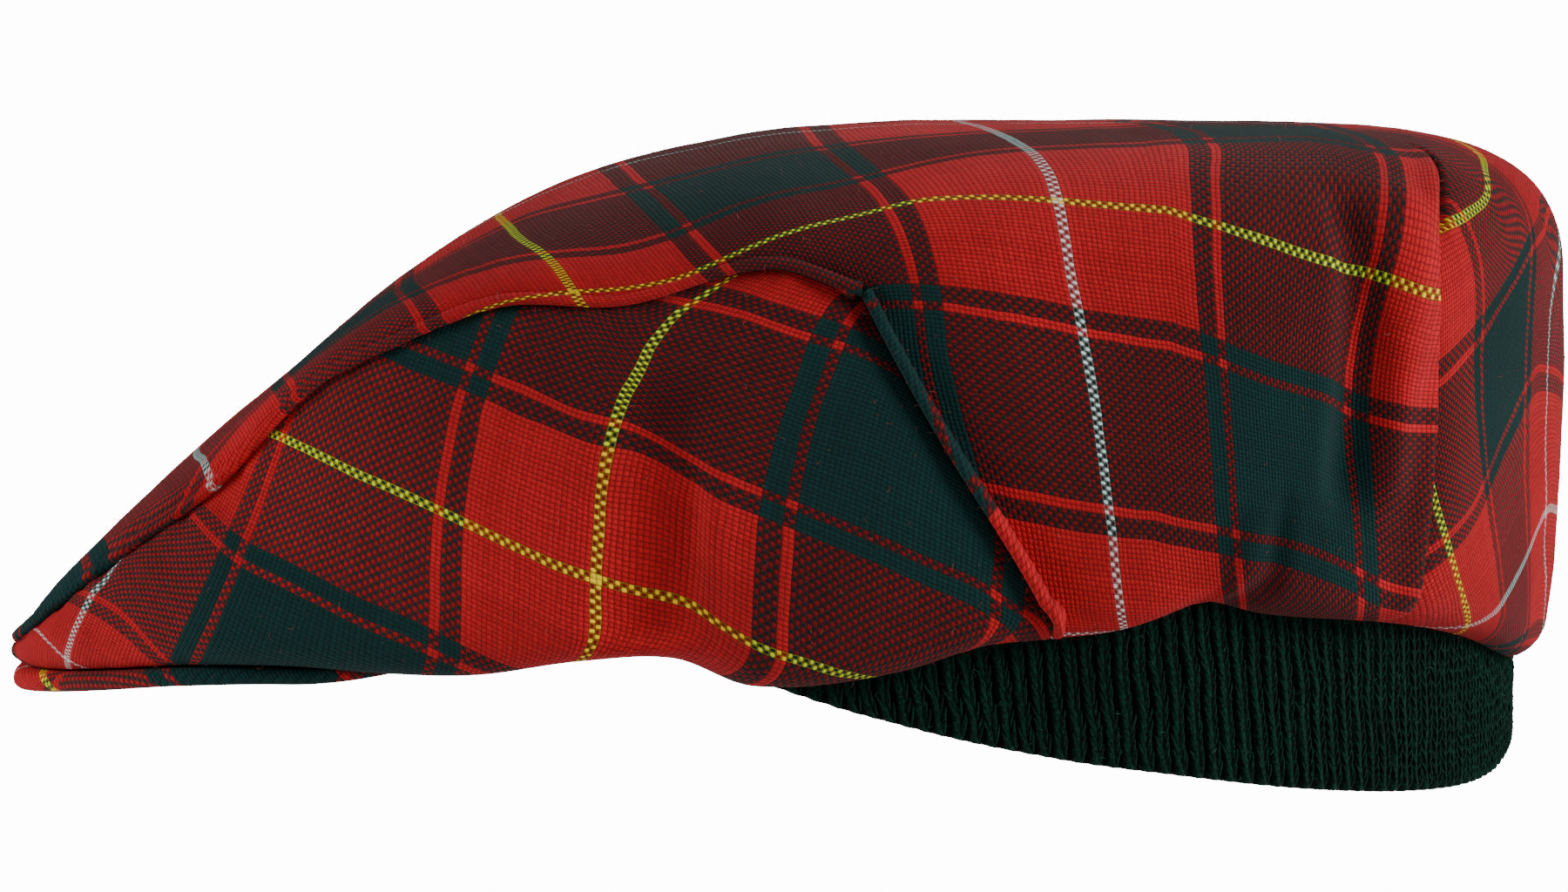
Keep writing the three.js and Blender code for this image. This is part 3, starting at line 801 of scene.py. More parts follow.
# %% Crown panel
def crown_relief(points, angle, level):
    """How far the cloth stands out of its plain shape, in millimetres."""
    from_top_seam = distance_to(points, top_seam)
    from_side_seam = distance_to(points, side_seam)
    swell = 0.8 * (from_top_seam / 5) * np.exp(1 - from_top_seam / 5)
    draw = -2.8 * np.exp(-(from_side_seam / 12) ** 2)
    pucker = 0.30 * wander(points, 6.5, seed=14) * np.exp(-from_top_seam / 6)
    # Long and short waves of wear, which are full on the wall and half as strong on the top.
    on_wall = smoothstep(level, 0.05, 0.3) * (1 - smoothstep(level, 0.9, 1.2))
    wear_and_painted_sheen = 0.45 * wander(points, 58, seed=3) + 0.16 * wander(points, 17, seed=8)
    # Behind the ear the hem is tucked in, and the cloth before the tuck stands out.
    degrees = np.degrees(angle)
    tuck = -1.6 * bump(degrees, 102.6, 107.4) * (1 - smoothstep(level, 0.3, 0.62))
    tuck += 0.9 * bump(degrees, 99.0, 103.4) * (1 - smoothstep(level, 0.25, 0.5))
    # The hem itself stays where it is.
    hold = smoothstep(level, 0.0, 0.2)
    return (swell + draw + pucker + wear_and_painted_sheen * (0.5 + 0.5 * on_wall) + tuck) * hold


crown_normal = normals_of(crown_base)
crown_out = crown_relief(crown_base, crown_grid_angle, crown_level)[..., None]
crown_face = crown_base + crown_normal * crown_out
crown_back = cloth_point(crown_grid_angle, crown_level, CLOTH) + crown_normal * crown_out
# Where the halves meet, both end exactly on the centre line.
for surface in (crown_face, crown_back):
    surface[0, :, 0] = 0
    surface[-1, :, 0] = 0
    surface[:, -1, 0] = 0


def crown_half(threads_front, threads_behind):
    """Face, back and rim of half the crown, before the dart and behind it."""
    front, behind = slice(0, dart_column + 1), slice(dart_column, None)
    nets = []
    for columns, threads in ((front, threads_front), (behind, threads_behind)):
        nets += cloth_nets(crown_face[columns], crown_back[columns], threads[columns], ["low"])
    return nets


crown_nets = crown_half(crown_uv_front, crown_uv_behind)
right_nets = crown_half(crown_uv_front_right, crown_uv_behind_right)
crown_nets += [mirrored(piece_net) for piece_net in right_nets]
crown_cloth = mesh_piece("crown_cloth", crown_nets)

# %% [markdown]
# ## The side panels
#
# Each side panel fills the wall from the front lip to the upright seam over the temple. It is cut on
# its own grain: its crosswise threads stand upright and its lengthwise threads fall away towards the
# back. It lies a little lower than the crown, whose edge laps over it along both seams.

# %% Threads of a side panel
# The run along the hem at which the crosswise threads stand, how far they lean back higher up, and
# the heights above the hem of six lengthwise threads by the same run.
SIDE_RUN_OF_THREAD = [
    (0, -52), (25, -26), (50, 0), (80, 30), (119, 68), (146.4, 98), (178, 128), (213, 166), (237, 190),
]
SIDE_LEAN = [
    (0, 0), (30, 0), (36, 0.3), (42, 1.1), (51, 2.9), (56, 4.4), (61, 6), (65, 7.3), (68, 9),
    (71.4, 11.6), (74.4, 16), (80, 24),
]
SIDE_HEIGHT_OF = {
    30: [(0, 110), (50, 102), (90, 97), (119, 87), (147, 76), (162, 71.8), (170.5, 68.6), (179.6, 63.8),
         (193, 57.4), (210, 46), (240, 24)],
    68: [(0, 81), (50, 73), (90, 69), (119, 57.5), (135, 49.2), (144, 45.8), (155, 43.6), (163, 42),
         (173, 38.6), (183, 34), (193, 28.2), (200, 23), (206.5, 19), (212, 15.2), (218, 10), (240, -7)],
    98: [(0, 66), (50, 56), (90, 43), (119, 32), (147, 17), (165, 13), (172, 11.8), (178, 10.2), (183, 8.5),
         (188, 6.5), (197, 3), (214, -10), (240, -28)],
    128: [(0, 52), (40, 44), (60, 36), (72, 29), (78, 24), (82, 21), (98, 15), (120, 6.8), (147, -7.8),
          (175, -14.8), (197, -22.8), (240, -52.8)],
    166: [(0, 30), (40, 17.5), (54, 14), (62, 9), (67, 3), (75, -6), (82, -11), (98, -17), (120, -25),
          (147, -39), (240, -84)],
    196: [(0, 18), (36, 8), (41, 4.5), (50, -2), (62, -14), (75, -28), (98, -41), (120, -50), (147, -64),
          (240, -109)],
}


def side_threads(run, height):
    """Lengthwise and crosswise thread numbers on a side panel."""
    lean = 0.7 * (height - 14) * (1 - smoothstep(run, 50, 125))
    lean = lean + read_table(SIDE_LEAN, height) * stretch(run, 90, 240)
    crosswise = rounded_table(SIDE_RUN_OF_THREAD, run - lean, 5)
    depths = [-rounded_table(row, run, 5) for row in SIDE_HEIGHT_OF.values()]
    lengthwise = between_lines(np.stack(depths, -1), list(SIDE_HEIGHT_OF), -height)
    return np.stack([lengthwise, crosswise], -1)


# %% Side panels
SIDE_COLUMNS, SIDE_ROWS = 150, 40
# How far the rim of a side panel bulges: hardly, because the crown's edge and the welt cover it.
SIDE_RIM = 0.05
front_angle = (SEAM_GAP / 2 / FOOT["half"]) ** (FOOT["powers"][0] / 2)
seam_trim = SEAM_GAP / (EDGE["widest"] - EDGE["front"])
side_share = angles_between(FOOT, 0.0, SEAM_FOOT_ANGLE, SIDE_COLUMNS) / SEAM_FOOT_ANGLE


def side_angle(share, level):
    return front_angle + (side_seam_angle(level) - seam_trim - front_angle) * share


dense_levels = np.linspace(0, 1, 301)
side_level = np.empty((SIDE_COLUMNS + 1, SIDE_ROWS + 1))
side_height = np.empty_like(side_level)
for k, share in enumerate(side_share):
    dense_line = cloth_point(side_angle(share, dense_levels), dense_levels)
    shares = equal_steps(dense_line, SIDE_ROWS)
    side_level[k] = shares
    side_height[k] = np.interp(shares, dense_levels, run_along(dense_line))
side_grid_angle = side_angle(side_share[:, None], side_level)
plan_angles = np.linspace(0, math.pi, 3001)
side_run = np.interp(side_grid_angle, plan_angles, run_along(outline_point(FOOT, plan_angles)))
side_uv = side_threads(side_run, side_height)


def side_relief(points, run, height):
    """How far a side panel stands out of its plain shape: it dips where the crown laps over it."""
    from_top_seam = distance_to(points, top_seam)
    from_side_seam = distance_to(points, side_seam)
    dip = -1.1 * np.exp(-from_top_seam / 2.6)
    dip -= 2.7 * np.exp(-from_side_seam / 3.4) * smoothstep(height, 2, 12)
    pucker = 0.32 * wander(points, 6.5, seed=15) * np.exp(-from_top_seam / 8)
    # Over the temple a narrow dent stands upright, with a soft ridge behind it.
    dent = -1.1 * np.exp(-((run - 161) / 2.6) ** 2) * bump(height, 8, 52)
    dent += 0.7 * np.exp(-((run - 166) / 3.0) ** 2) * bump(height, 8, 52)
    wear_and_painted_sheen = 0.5 * wander(points, 48, seed=21) + 0.15 * wander(points, 15, seed=5)
    return dip + pucker + dent + wear_and_painted_sheen * smoothstep(height, 1, 9)


side_base = cloth_point(side_grid_angle, side_level)
side_base[:, -1, 2] -= SEAM_GAP
side_normal = normals_of(side_base)
side_out = side_relief(side_base, side_run, side_height)[..., None]
side_face = side_base + side_normal * side_out
side_back = cloth_point(side_grid_angle, side_level, CLOTH) + side_normal * side_out
side_back[:, -1, 2] -= SEAM_GAP
# At the front centre the panel keeps its gap to the other one.
side_face[0, :, 0] = side_base[0, :, 0]

side_nets = cloth_nets(side_face, side_back, side_uv, EDGES, bulge=SIDE_RIM)
side_cloth_left = mesh_piece("side_cloth_left", side_nets)
side_cloth_right = mesh_piece("side_cloth_right", [mirrored(piece_net) for piece_net in side_nets])

# %% [markdown]
# ## The peak
#
# The peak is a short stiff plate covered in the same cloth. Only its rim shows from the side, under
# the front lip, and its underside shows from below. It is a net between the front edge and the edge
# over the forehead, with a half-round rim all round.


# %% Peak
# How thick it is at the tip and at its two horns, how far it stands out past the hem, and how far
# below the hem it lies.
PEAK_TIP_THICKNESS = 3.4
PEAK_HORN_THICKNESS = 2.0
PEAK_OVERHANG = 1.6
PEAK_DROP = 0.6
# Along its outer edge the peak leaves the lip and tucks in between the first two places, and then
# rises by so much up to the third.
PEAK_TUCK = {"from": -134, "to": -116, "top": -84, "rise": 5}
PEAK_FOREHEAD = {"length": 97, "half_width": 84, "sweep": 0.85, "centre_z": -79, "drop": 4}
# The horns end at this share of the way to the side seam.
PEAK_HORN_AT = 16 / 22
# The peak is cut flat, so its threads are evenly spaced. These thread numbers lie at the origin.
THREAD_SIZE = 0.79
PEAK_THREADS = [-15, 104.5]


def peak_outer_edge(angle):
    y = outline_point(HEM, angle)[..., 1]
    tuck = smoothstep(y, PEAK_TUCK["from"], PEAK_TUCK["to"])
    rise = PEAK_TUCK["rise"] * smoothstep(y, PEAK_TUCK["to"], PEAK_TUCK["top"])
    inset = -PEAK_OVERHANG + (CLEARANCE + PEAK_OVERHANG) * tuck
    plan = outline_point(HEM, angle, inset)
    return np.concatenate([plan, (hem_height(angle) - PEAK_DROP + rise)[..., None]], -1)


def peak_inner_edge(share):
    angle = share * PEAK_FOREHEAD["sweep"]
    x = PEAK_FOREHEAD["half_width"] * np.sin(angle)
    y = -PEAK_FOREHEAD["length"] * np.cos(angle)
    return np.stack([x, y, PEAK_FOREHEAD["centre_z"] - PEAK_FOREHEAD["drop"] * share**2], -1)


horn_angle = SEAM_FOOT_ANGLE * PEAK_HORN_AT
peak_share = angles_between(HEM, 0.0, horn_angle, 90) / horn_angle
peak_across = np.linspace(0, 1, 25)
outer = peak_outer_edge(peak_share * horn_angle)[:, None]
inner = peak_inner_edge(peak_share)[:, None]
peak_top = outer + (inner - outer) * peak_across[None, :, None]
peak_thickness = PEAK_TIP_THICKNESS + (PEAK_HORN_THICKNESS - PEAK_TIP_THICKNESS) * peak_share**2
peak_under = peak_top.copy()
peak_under[..., 2] -= peak_thickness[:, None]
peak_uv = peak_top[..., :2] / THREAD_SIZE + PEAK_THREADS
peak_nets = cloth_nets(peak_top, peak_under, peak_uv, ["low", "high", "last"], turns=8,
                       thread_size=THREAD_SIZE)
peak_nets += [mirrored(piece_net) for piece_net in peak_nets]
peak_cloth = mesh_piece("peak_cloth", peak_nets)

# %% [markdown]
# ## The seams
#
# Where two panels are sewn, the edge of the upper one is folded and rolls over the lower one. Along
# the top seam it is a thin roll, and along the upright side seam it is a raised welt with a stitched
# groove behind it. Sculpting them into the panels would need a far finer net everywhere. A narrow
# strip with its own profile follows each seam line, and it carries on the threads of the crown.


# %% Strips along a seam
def strip_net(line, across, outward, profile, threads, threads_across):
    """A net along a line. The profile gives steps across it and heights above it."""
    rows, uvs = [], []
    for step, height in profile:
        rows.append(line + across * step + outward * height)
        uvs.append(threads + threads_across * step)
    return net(np.stack(rows, 1), np.stack(uvs, 1))


def rounded_profile(knots, count):
    """A smooth profile through a few knots."""
    knots = np.array(knots, float)
    run = run_along(knots)
    places = np.linspace(0, run[-1], count)
    steps, heights = [read_table(list(zip(run, column)), places) for column in knots.T]
    return list(zip(steps, heights))


front_count = FRONT_COLUMNS + 1
seam_angles = angles_between(EDGE, 0.0, SEAM_TOP_ANGLE, 420)
seam_line = cloth_point(seam_angles, np.ones_like(seam_angles))
seam_up = unit(cloth_point(seam_angles, np.full_like(seam_angles, 1.02)) - seam_line)
seam_out = unit(np.cross(np.gradient(seam_line, axis=0), seam_up))
edge_run = np.linalg.norm(crown_base[:front_count, 2] - crown_base[:front_count, 0], axis=-1)
# The section of the roll: steps up the cloth from the seam and heights above it.
ROLL = [
    (-0.5, -1.5), (-0.75, -0.6), (-0.7, 0.35), (-0.2, 0.95), (0.45, 1.1), (1.05, 0.85), (1.4, 0.3),
    (1.6, -0.4),
]


def at_seam(table):
    """The rows of a table for the crown's front columns, read at the places along the seam."""
    return np.stack([np.interp(seam_angles, front_angles, column) for column in table.T], -1)


def roll_strip(threads):
    """The roll along the top seam, carrying on the threads of the crown's edge."""
    rate = (threads[:front_count, 2] - threads[:front_count, 0]) / edge_run[:, None]
    start = at_seam(threads[:front_count, 0])
    roll = strip_net(seam_line, seam_up, seam_out, rounded_profile(ROLL, 13), start, at_seam(rate))
    waver = 0.12 * wander(roll["points"], 7, seed=31) + 0.10 * wander(roll["points"], 2.6, seed=9)
    roll["points"] = roll["points"] + seam_out[:, None] * waver[..., None]
    roll["points"][0, :, 0] = 0
    return roll


roll_right = mirrored(roll_strip(crown_uv_front_right))
top_seam_roll = mesh_piece("top_seam_roll", [roll_strip(crown_uv_front), roll_right])

# %% Welt of the side seam
# The level at which the welt ends, just above the hem, and how deep its ends sink into the cloth.
WELT_FOOT = 0.06
WELT_SINK = 0.9
# The section of the welt: steps back from the seam and heights above the cloth. Past its round back
# it drops into the groove and goes on under the crown's cloth.
WELT = [
    (-0.1, -3.0), (-0.4, -1.5), (-0.45, -0.1), (-0.15, 0.65), (0.45, 0.95), (1.0, 0.75), (1.4, 0.1),
    (1.55, -1.2), (1.7, -2.3), (2.1, -3.1), (2.6, -3.5), (3.4, -4.0), (4.4, -4.8),
]
# How the thread numbers change for each millimetre across the welt.
WELT_THREADS_ACROSS = [0.25, 1.25]
welt_levels = np.linspace(1.0, WELT_FOOT, 250)
welt_angles = side_seam_angle(welt_levels)
welt_line = cloth_point(welt_angles, welt_levels)
welt_run = unit(np.gradient(welt_line, axis=0))
towards_back = cloth_point(welt_angles + 0.02, welt_levels) - welt_line
towards_back -= welt_run * (towards_back * welt_run).sum(-1, keepdims=True)
welt_across = unit(towards_back)
welt_out = unit(np.cross(welt_run, welt_across))
slant = slice(front_count - 1, front_count + len(slant_lows))
welt_over = np.interp(welt_angles, crown_angle[slant], crown_over[slant, 0])
welt_uv = crown_threads(welt_angles[:, None], welt_over[:, None], welt_line[:, None], behind=False)[:, 0]
welt_uv_across = np.full((len(welt_over), 2), WELT_THREADS_ACROSS)
sunk = 1 - smoothstep(welt_levels, WELT_FOOT, 0.16) * (1 - smoothstep(welt_levels, 0.95, 1.0) * 0.8)


def welt_strip(threads, threads_across):
    """The raised welt, sinking into the cloth at both ends."""
    welt = strip_net(welt_line, welt_across, welt_out, rounded_profile(WELT, 30), threads, threads_across)
    welt["points"] = welt["points"] - welt_out[:, None] * sunk[:, None, None] * WELT_SINK
    gather = 0.14 * wander(welt["points"], 9, seed=12) + 0.09 * wander(welt["points"], 3.0, seed=7)
    welt["points"] = welt["points"] + welt_out[:, None] * gather[..., None]
    return welt


welt_left = welt_strip(welt_uv, welt_uv_across)
welt_centre = np.interp(welt_angles, crown_angle, centre_front[:, 0])
welt_right = welt_strip(on_the_right(welt_uv, welt_centre), welt_uv_across * np.array([-1, 1]))
side_seam_welt = mesh_piece("side_seam_welt", [welt_left, mirrored(welt_right)])
print("welt outward at the middle", welt_out[len(welt_out) // 2].round(2))

# %% [markdown]
# ## The ear band
#
# The band is knitted in a rib: columns of plain stitches stand out and the columns between them
# fall back, so the knitting looks like cords side by side with painted near-black shade between. Its base is
# a
# thin wall with a wave in it, and the stitches are laid on the wave afterwards. Modelling each yarn
# through its neighbours would be truer, but nothing of that shows under the fuzz.

# %% Base of the ear band
# Where the band starts at the temple, how far it reaches up inside the hem, and the size of its ribs.
BAND_FRONT_Y = -46
BAND_TUCK = 9
RIB_PITCH = 2.9
RIB_DEPTH = 1.0
RIB_COLUMNS = 8
# How far the ribs lean over the band's height, and how far they waver.
RIB_LEAN = 3.6
RIB_WAVER = 0.35
# The room left for yarn on the outer and on the inner face of the base.
OUTER_ROOM = 0.25
INNER_ROOM = 0.1
band_dense = np.linspace(angle_at(HEM, BAND_FRONT_Y), math.pi, 4001)
band_run_dense = run_along(outline_point(HEM, band_dense))
BAND_LENGTH = float(band_run_dense[-1])
RIBS = int(round(BAND_LENGTH / RIB_PITCH))
band_rib = BAND_LENGTH / RIBS
BAND_ROWS = 16


def rib_slant(run):
    """The ribs lean back towards the foot, but stand upright behind the head."""
    return RIB_LEAN * smoothstep(run, 0, 25) * (1 - smoothstep(run / BAND_LENGTH, 0.45, 0.85))


def band_point(run, share, depth):
    """A place on the band: run along the hem, share up the band, depth 0 outside to KNIT inside."""
    angle = np.interp(run, band_run_dense, band_dense)
    flat = outline_point(HEM, angle)
    foot = read_table(BAND_FOOT_LINE, flat[..., 1])
    head = hem_height(angle) + BAND_TUCK
    outward = outward_of(HEM, angle)
    plan = flat - outward * np.broadcast_to(CLEARANCE + depth, flat.shape[:-1])[..., None]
    return np.concatenate([plan, (foot + (head - foot) * share)[..., None]], -1)


def slanted_run(rib_run, share):
    """Where along the hem a rib runs at a share of the height. Ribs also waver a little."""
    waver = RIB_WAVER * wander(np.stack([rib_run, share * 25, rib_run * 0], -1), 8, seed=6)
    waver = waver * smoothstep(rib_run, 0, 6) * (1 - smoothstep(rib_run, BAND_LENGTH - 6, BAND_LENGTH))
    return np.clip(rib_run + rib_slant(rib_run) * (0.8 - share) + waver, 0, BAND_LENGTH)


band_columns = np.linspace(0, BAND_LENGTH, RIBS * RIB_COLUMNS + 1)
band_share = np.linspace(0, 1, BAND_ROWS + 1)
run_grid, share_grid = np.meshgrid(band_columns, band_share, indexing="ij")
rib_wave = 0.5 + 0.5 * np.cos(2 * math.pi * run_grid / band_rib)
leaning_run = slanted_run(run_grid, share_grid)
band_uv = np.stack([run_grid, share_grid * 30], -1)
band_outer = band_point(leaning_run, share_grid, OUTER_ROOM + RIB_DEPTH * (1 - rib_wave))
band_inner = band_point(leaning_run, share_grid, KNIT - INNER_ROOM - RIB_DEPTH * rib_wave)
band_outer[-1, :, 0] = 0
band_inner[-1, :, 0] = 0
band_nets = cloth_nets(band_outer, band_inner, band_uv, ["low", "high", "first"])
band_nets += [mirrored(piece_net) for piece_net in band_nets]
band_base = mesh_piece("ear_band_base", band_nets)
print("ribs on each side", RIBS, "every", round(band_rib, 2), "mm")

# %% [markdown]
# ## Woven wool
#
# The cloth is a plain weave: each thread goes over one and under the next. The material reads the
# two thread numbers. Whether their whole parts add up to an even or an odd number says which of the
# two threads lies on top in that little square, and that thread's number says its colour in the
# stripe order. The parts after the decimal point say where in the square a point is, which gives each
# thread its round back and the painted shade in the gap beside it.
#
# A picture of tartan would need no such sums, but it would blur when seen close and could not follow
# the grain of each panel. Real wool also has hairs that carry one colour over the next, dye that is
# never even, and a soft bloom where light grazes it, so noise and sheen are added last.


# %% Small helpers for node trees
def helpers_for(tree):
    """Helpers that add a node to a tree, do one sum, and spread a value from one range to another."""

    def add(kind, inputs=None, **settings):
        made = tree.nodes.new(kind)
        for key, value in settings.items():
            setattr(made, key, value)
        for key, value in (inputs or {}).items():
            if isinstance(value, bpy.types.NodeSocket):
                tree.links.new(value, made.inputs[key])
            else:
                made.inputs[key].default_value = value
        return made

    def sums(operation, *values, clamp=False):
        made = add("ShaderNodeMath", dict(enumerate(values)), operation=operation, use_clamp=clamp)
        return made.outputs[0]

    def spread(value, low, high, least, most):
        return add("ShaderNodeMapRange", {0: value, 1: low, 2: high, 3: least, 4: most}).outputs[0]

    return add, sums, spread


def new_material(name, roughness, specular):
    """A material, its tree and its shader."""
    material = bpy.data.materials.new(name)
    material.use_nodes = True
    shader = material.node_tree.nodes["Principled BSDF"]
    shader.inputs["Roughness"].default_value = roughness
    shader.inputs["Specular IOR Level"].default_value = specular
    return material, material.node_tree, shader


def bloom(shader, weight, roughness, tint):
    """The soft light that wool gives back where it is grazed."""
    shader.inputs["Sheen Weight"].default_value = weight
    shader.inputs["Sheen Roughness"].default_value = roughness
    shader.inputs["Sheen Tint"].default_value = tint


def blend(add, share, first, second, how="MIX"):
    """Two colours mixed by a share."""
    mixed = add("ShaderNodeMix", {0: share, 6: first, 7: second}, data_type="RGBA", blend_type=how)
    return mixed.outputs[2]


def noise_at(add, place, scale, detail, roughness=0.5):
    """A grey value that wanders with the place, finer where the scale is higher."""
    inputs = {"Vector": place, "Scale": scale, "Detail": detail, "Roughness": roughness}
    return add("ShaderNodeTexNoise", inputs).outputs["Fac"]


# The stripe order from the white line to the yellow line: how many threads, and of which colour.
STRIPES = [
    (1, "white"), (24, "red"), (4, "green"), (2, "red"), (36, "green"), (2, "red"), (4, "green"),
    (24, "red"), (1, "yellow"),
]
HALF_SETT = sum(count for count, _ in STRIPES)
DYES = {
    "red": (0.47, 0.0105, 0.0150, 1.0),
    "green": (0.0022, 0.030, 0.028, 1.0),
    "white": (0.80, 0.76, 0.72, 1.0),
    "yellow": (1.0, 0.84, 0.012, 1.0),
}
print("threads in half the stripe order", HALF_SETT)


def stripe_ramp(add, place):
    """The dye of a thread from its place 0..1 in the half stripe order."""
    ramp = add("ShaderNodeValToRGB", {0: place})
    ramp.color_ramp.interpolation = "CONSTANT"
    elements = ramp.color_ramp.elements
    while len(elements) > 1:
        elements.remove(elements[-1])
    elements[0].position = 0.0
    elements[0].color = DYES[STRIPES[0][1]]
    passed = STRIPES[0][0]
    for count, dye in STRIPES[1:]:
        elements.new(passed / HALF_SETT).color = DYES[dye]
        passed += count
    return ramp.outputs["Color"]


# %% Tartan wool
def tartan_wool(name):
    """Plain-woven cloth: round threads in the stripe order, hairs over them and uneven dye, with painted
    shade in the gaps and painted sheen at the brow and nape.
    """
    material, tree, shader = new_material(name, roughness=0.92, specular=0.18)
    add, sums, spread = helpers_for(tree)
    place = add("ShaderNodeTexCoord").outputs["Object"]
    uv = add("ShaderNodeUVMap", uv_map="threads").outputs["UV"]
    parts = add("ShaderNodeSeparateXYZ", {0: uv})
    sway = add("ShaderNodeTexNoise", {"Vector": place, "Scale": 90.0, "Detail": 2.0})
    sway_parts = add("ShaderNodeSeparateColor", {0: sway.outputs["Color"]})
    across = sums("MULTIPLY_ADD", sway_parts.outputs[0], 0.9, parts.outputs["X"])
    along = sums("MULTIPLY_ADD", sway_parts.outputs[1], 0.9, parts.outputs["Y"])

    thread_u, thread_v = sums("FLOOR", across), sums("FLOOR", along)
    inside_u = sums("SUBTRACT", sums("FRACT", across), 0.5)
    inside_v = sums("SUBTRACT", sums("FRACT", along), 0.5)
    odd = sums("FLOORED_MODULO", sums("ADD", thread_u, thread_v), 2.0)
    there_and_back = [sums("PINGPONG", sums("ADD", n, 0.5), HALF_SETT) for n in (thread_u, thread_v)]
    dye_u, dye_v = [stripe_ramp(add, sums("DIVIDE", n, HALF_SETT)) for n in there_and_back]
    on_top = blend(add, odd, dye_u, dye_v)
    below = blend(add, odd, dye_v, dye_u)
    pale = add("ShaderNodeSeparateColor", {0: on_top}).outputs[1]

    # A pale thread is so open that it takes a tint from the thread under it.
    red_below = sums("MULTIPLY", add("ShaderNodeSeparateColor", {0: below}).outputs[0], 2.2, clamp=True)
    tint = blend(add, red_below, (0.66, 1.0, 0.98, 1.0), (1.0, 0.76, 0.80, 1.0))
    is_pale = sums("MULTIPLY", sums("SUBTRACT", pale, 0.1), 4.0, clamp=True)
    on_top = blend(add, is_pale, on_top, blend(add, 1.0, on_top, tint, how="MULTIPLY"))

    # The round back of the thread on top: full along its middle, falling off at its two sides, and
    # dipping where it goes under its neighbours.
    keep = sums("SUBTRACT", 1.0, odd)
    side = sums("ADD", sums("MULTIPLY", inside_u, keep), sums("MULTIPLY", inside_v, odd))
    run = sums("ADD", sums("MULTIPLY", inside_v, keep), sums("MULTIPLY", inside_u, odd))
    round_back = sums("SUBTRACT", 1.0, sums("MULTIPLY", sums("MULTIPLY", side, side), 4.0))
    crown = sums("COSINE", sums("MULTIPLY", run, 3.0))
    height = sums("MULTIPLY", sums("SQRT", sums("MAXIMUM", round_back, 0.0)), crown)

    # Hairs, uneven dye and painted light. The sides of a thread take the colour of the thread below, and
    # where the two differ the hairs of the darker one dull the lighter one. Towards the brow and the nape a
    # painted sheen weakens that dulling and the painted gap shade, and at the brow it also lightens the
    # colour.
    hair = noise_at(add, place, 2600.0, 3.0, roughness=0.7)
    cloudy = noise_at(add, place, 38.0, 3.0)
    rise = sums("MULTIPLY_ADD", sums("SUBTRACT", hair, 0.5), 0.7, height)
    shows = spread(rise, 0.18, 0.70, 0.12, 1.0)
    colour = blend(add, shows, below, on_top)
    red_u = add("ShaderNodeSeparateColor", {0: dye_u}).outputs[0]
    red_v = add("ShaderNodeSeparateColor", {0: dye_v}).outputs[0]
    unlike = sums("MULTIPLY", sums("ABSOLUTE", sums("SUBTRACT", red_u, red_v)), 2.2, clamp=True)
    # Painted sheen: the cloth is painted lighter towards the brow and the nape, as if light grazed it there.
    length = add("ShaderNodeSeparateXYZ", {0: place}).outputs["Y"]
    brow_painted_sheen = spread(length, -0.070, -0.115, 0.0, 0.6)
    nape_painted_sheen = spread(length, 0.076, 0.086, 0.0, 0.6)
    wear_and_painted_sheen = sums("ADD", brow_painted_sheen, nape_painted_sheen)
    unlike = sums("MULTIPLY", unlike, sums("SUBTRACT", 1.0, wear_and_painted_sheen))
    dark_hairs = sums("MULTIPLY", unlike, sums("SUBTRACT", 1.0, sums("MULTIPLY", pale, 6.0), clamp=True))
    dull = sums("SUBTRACT", 1.0, sums("MULTIPLY", dark_hairs, 0.62))
    # Painted shade: the gap beside each thread on top is darkened, to about a quarter of its colour where the
    # two threads differ and to two fifths where they match.
    deepest_gap_shade = sums("SUBTRACT", 0.38, sums("MULTIPLY", unlike, 0.14))
    gap = spread(rise, 0.0, 0.65, deepest_gap_shade, 1.0)
    # No two threads take the dye alike, and it is cloudy over wider places.
    each_u = add("ShaderNodeTexWhiteNoise", {"W": thread_u}, noise_dimensions="1D").outputs["Value"]
    each_v = add("ShaderNodeTexWhiteNoise", {"W": sums("ADD", thread_v, 0.37)}, noise_dimensions="1D")
    lot = sums("ADD", sums("MULTIPLY", each_u, keep), sums("MULTIPLY", each_v.outputs["Value"], odd))
    shade = sums("MULTIPLY", sums("MULTIPLY", gap, dull), spread(lot, 0.0, 1.0, 0.86, 1.10))
    # Painted highlight at the brow: the colour there is up to 30 percent lighter.
    shade = sums("MULTIPLY", shade, sums("MULTIPLY_ADD", brow_painted_sheen, 0.5, 1.0))
    for darker in (shade, spread(cloudy, 0.3, 0.7, 0.86, 1.12)):
        colour = blend(add, 1.0, colour, darker, how="MULTIPLY")
    tree.links.new(colour, shader.inputs["Base Color"])

    relief = sums("ADD", sums("MULTIPLY", height, 0.7), sums("MULTIPLY", hair, 0.5))
    bumps = add("ShaderNodeBump", {"Strength": 0.75, "Distance": 0.0004, "Height": relief})
    tree.links.new(bumps.outputs["Normal"], shader.inputs["Normal"])
    bloom(shader, 0.04, 0.45, (0.85, 0.76, 0.74, 1.0))
    return material


tartan = tartan_wool("tartan_wool")
for piece in (crown_cloth, side_cloth_left, side_cloth_right, peak_cloth, top_seam_roll, side_seam_welt):
    piece.data.materials.append(tartan)


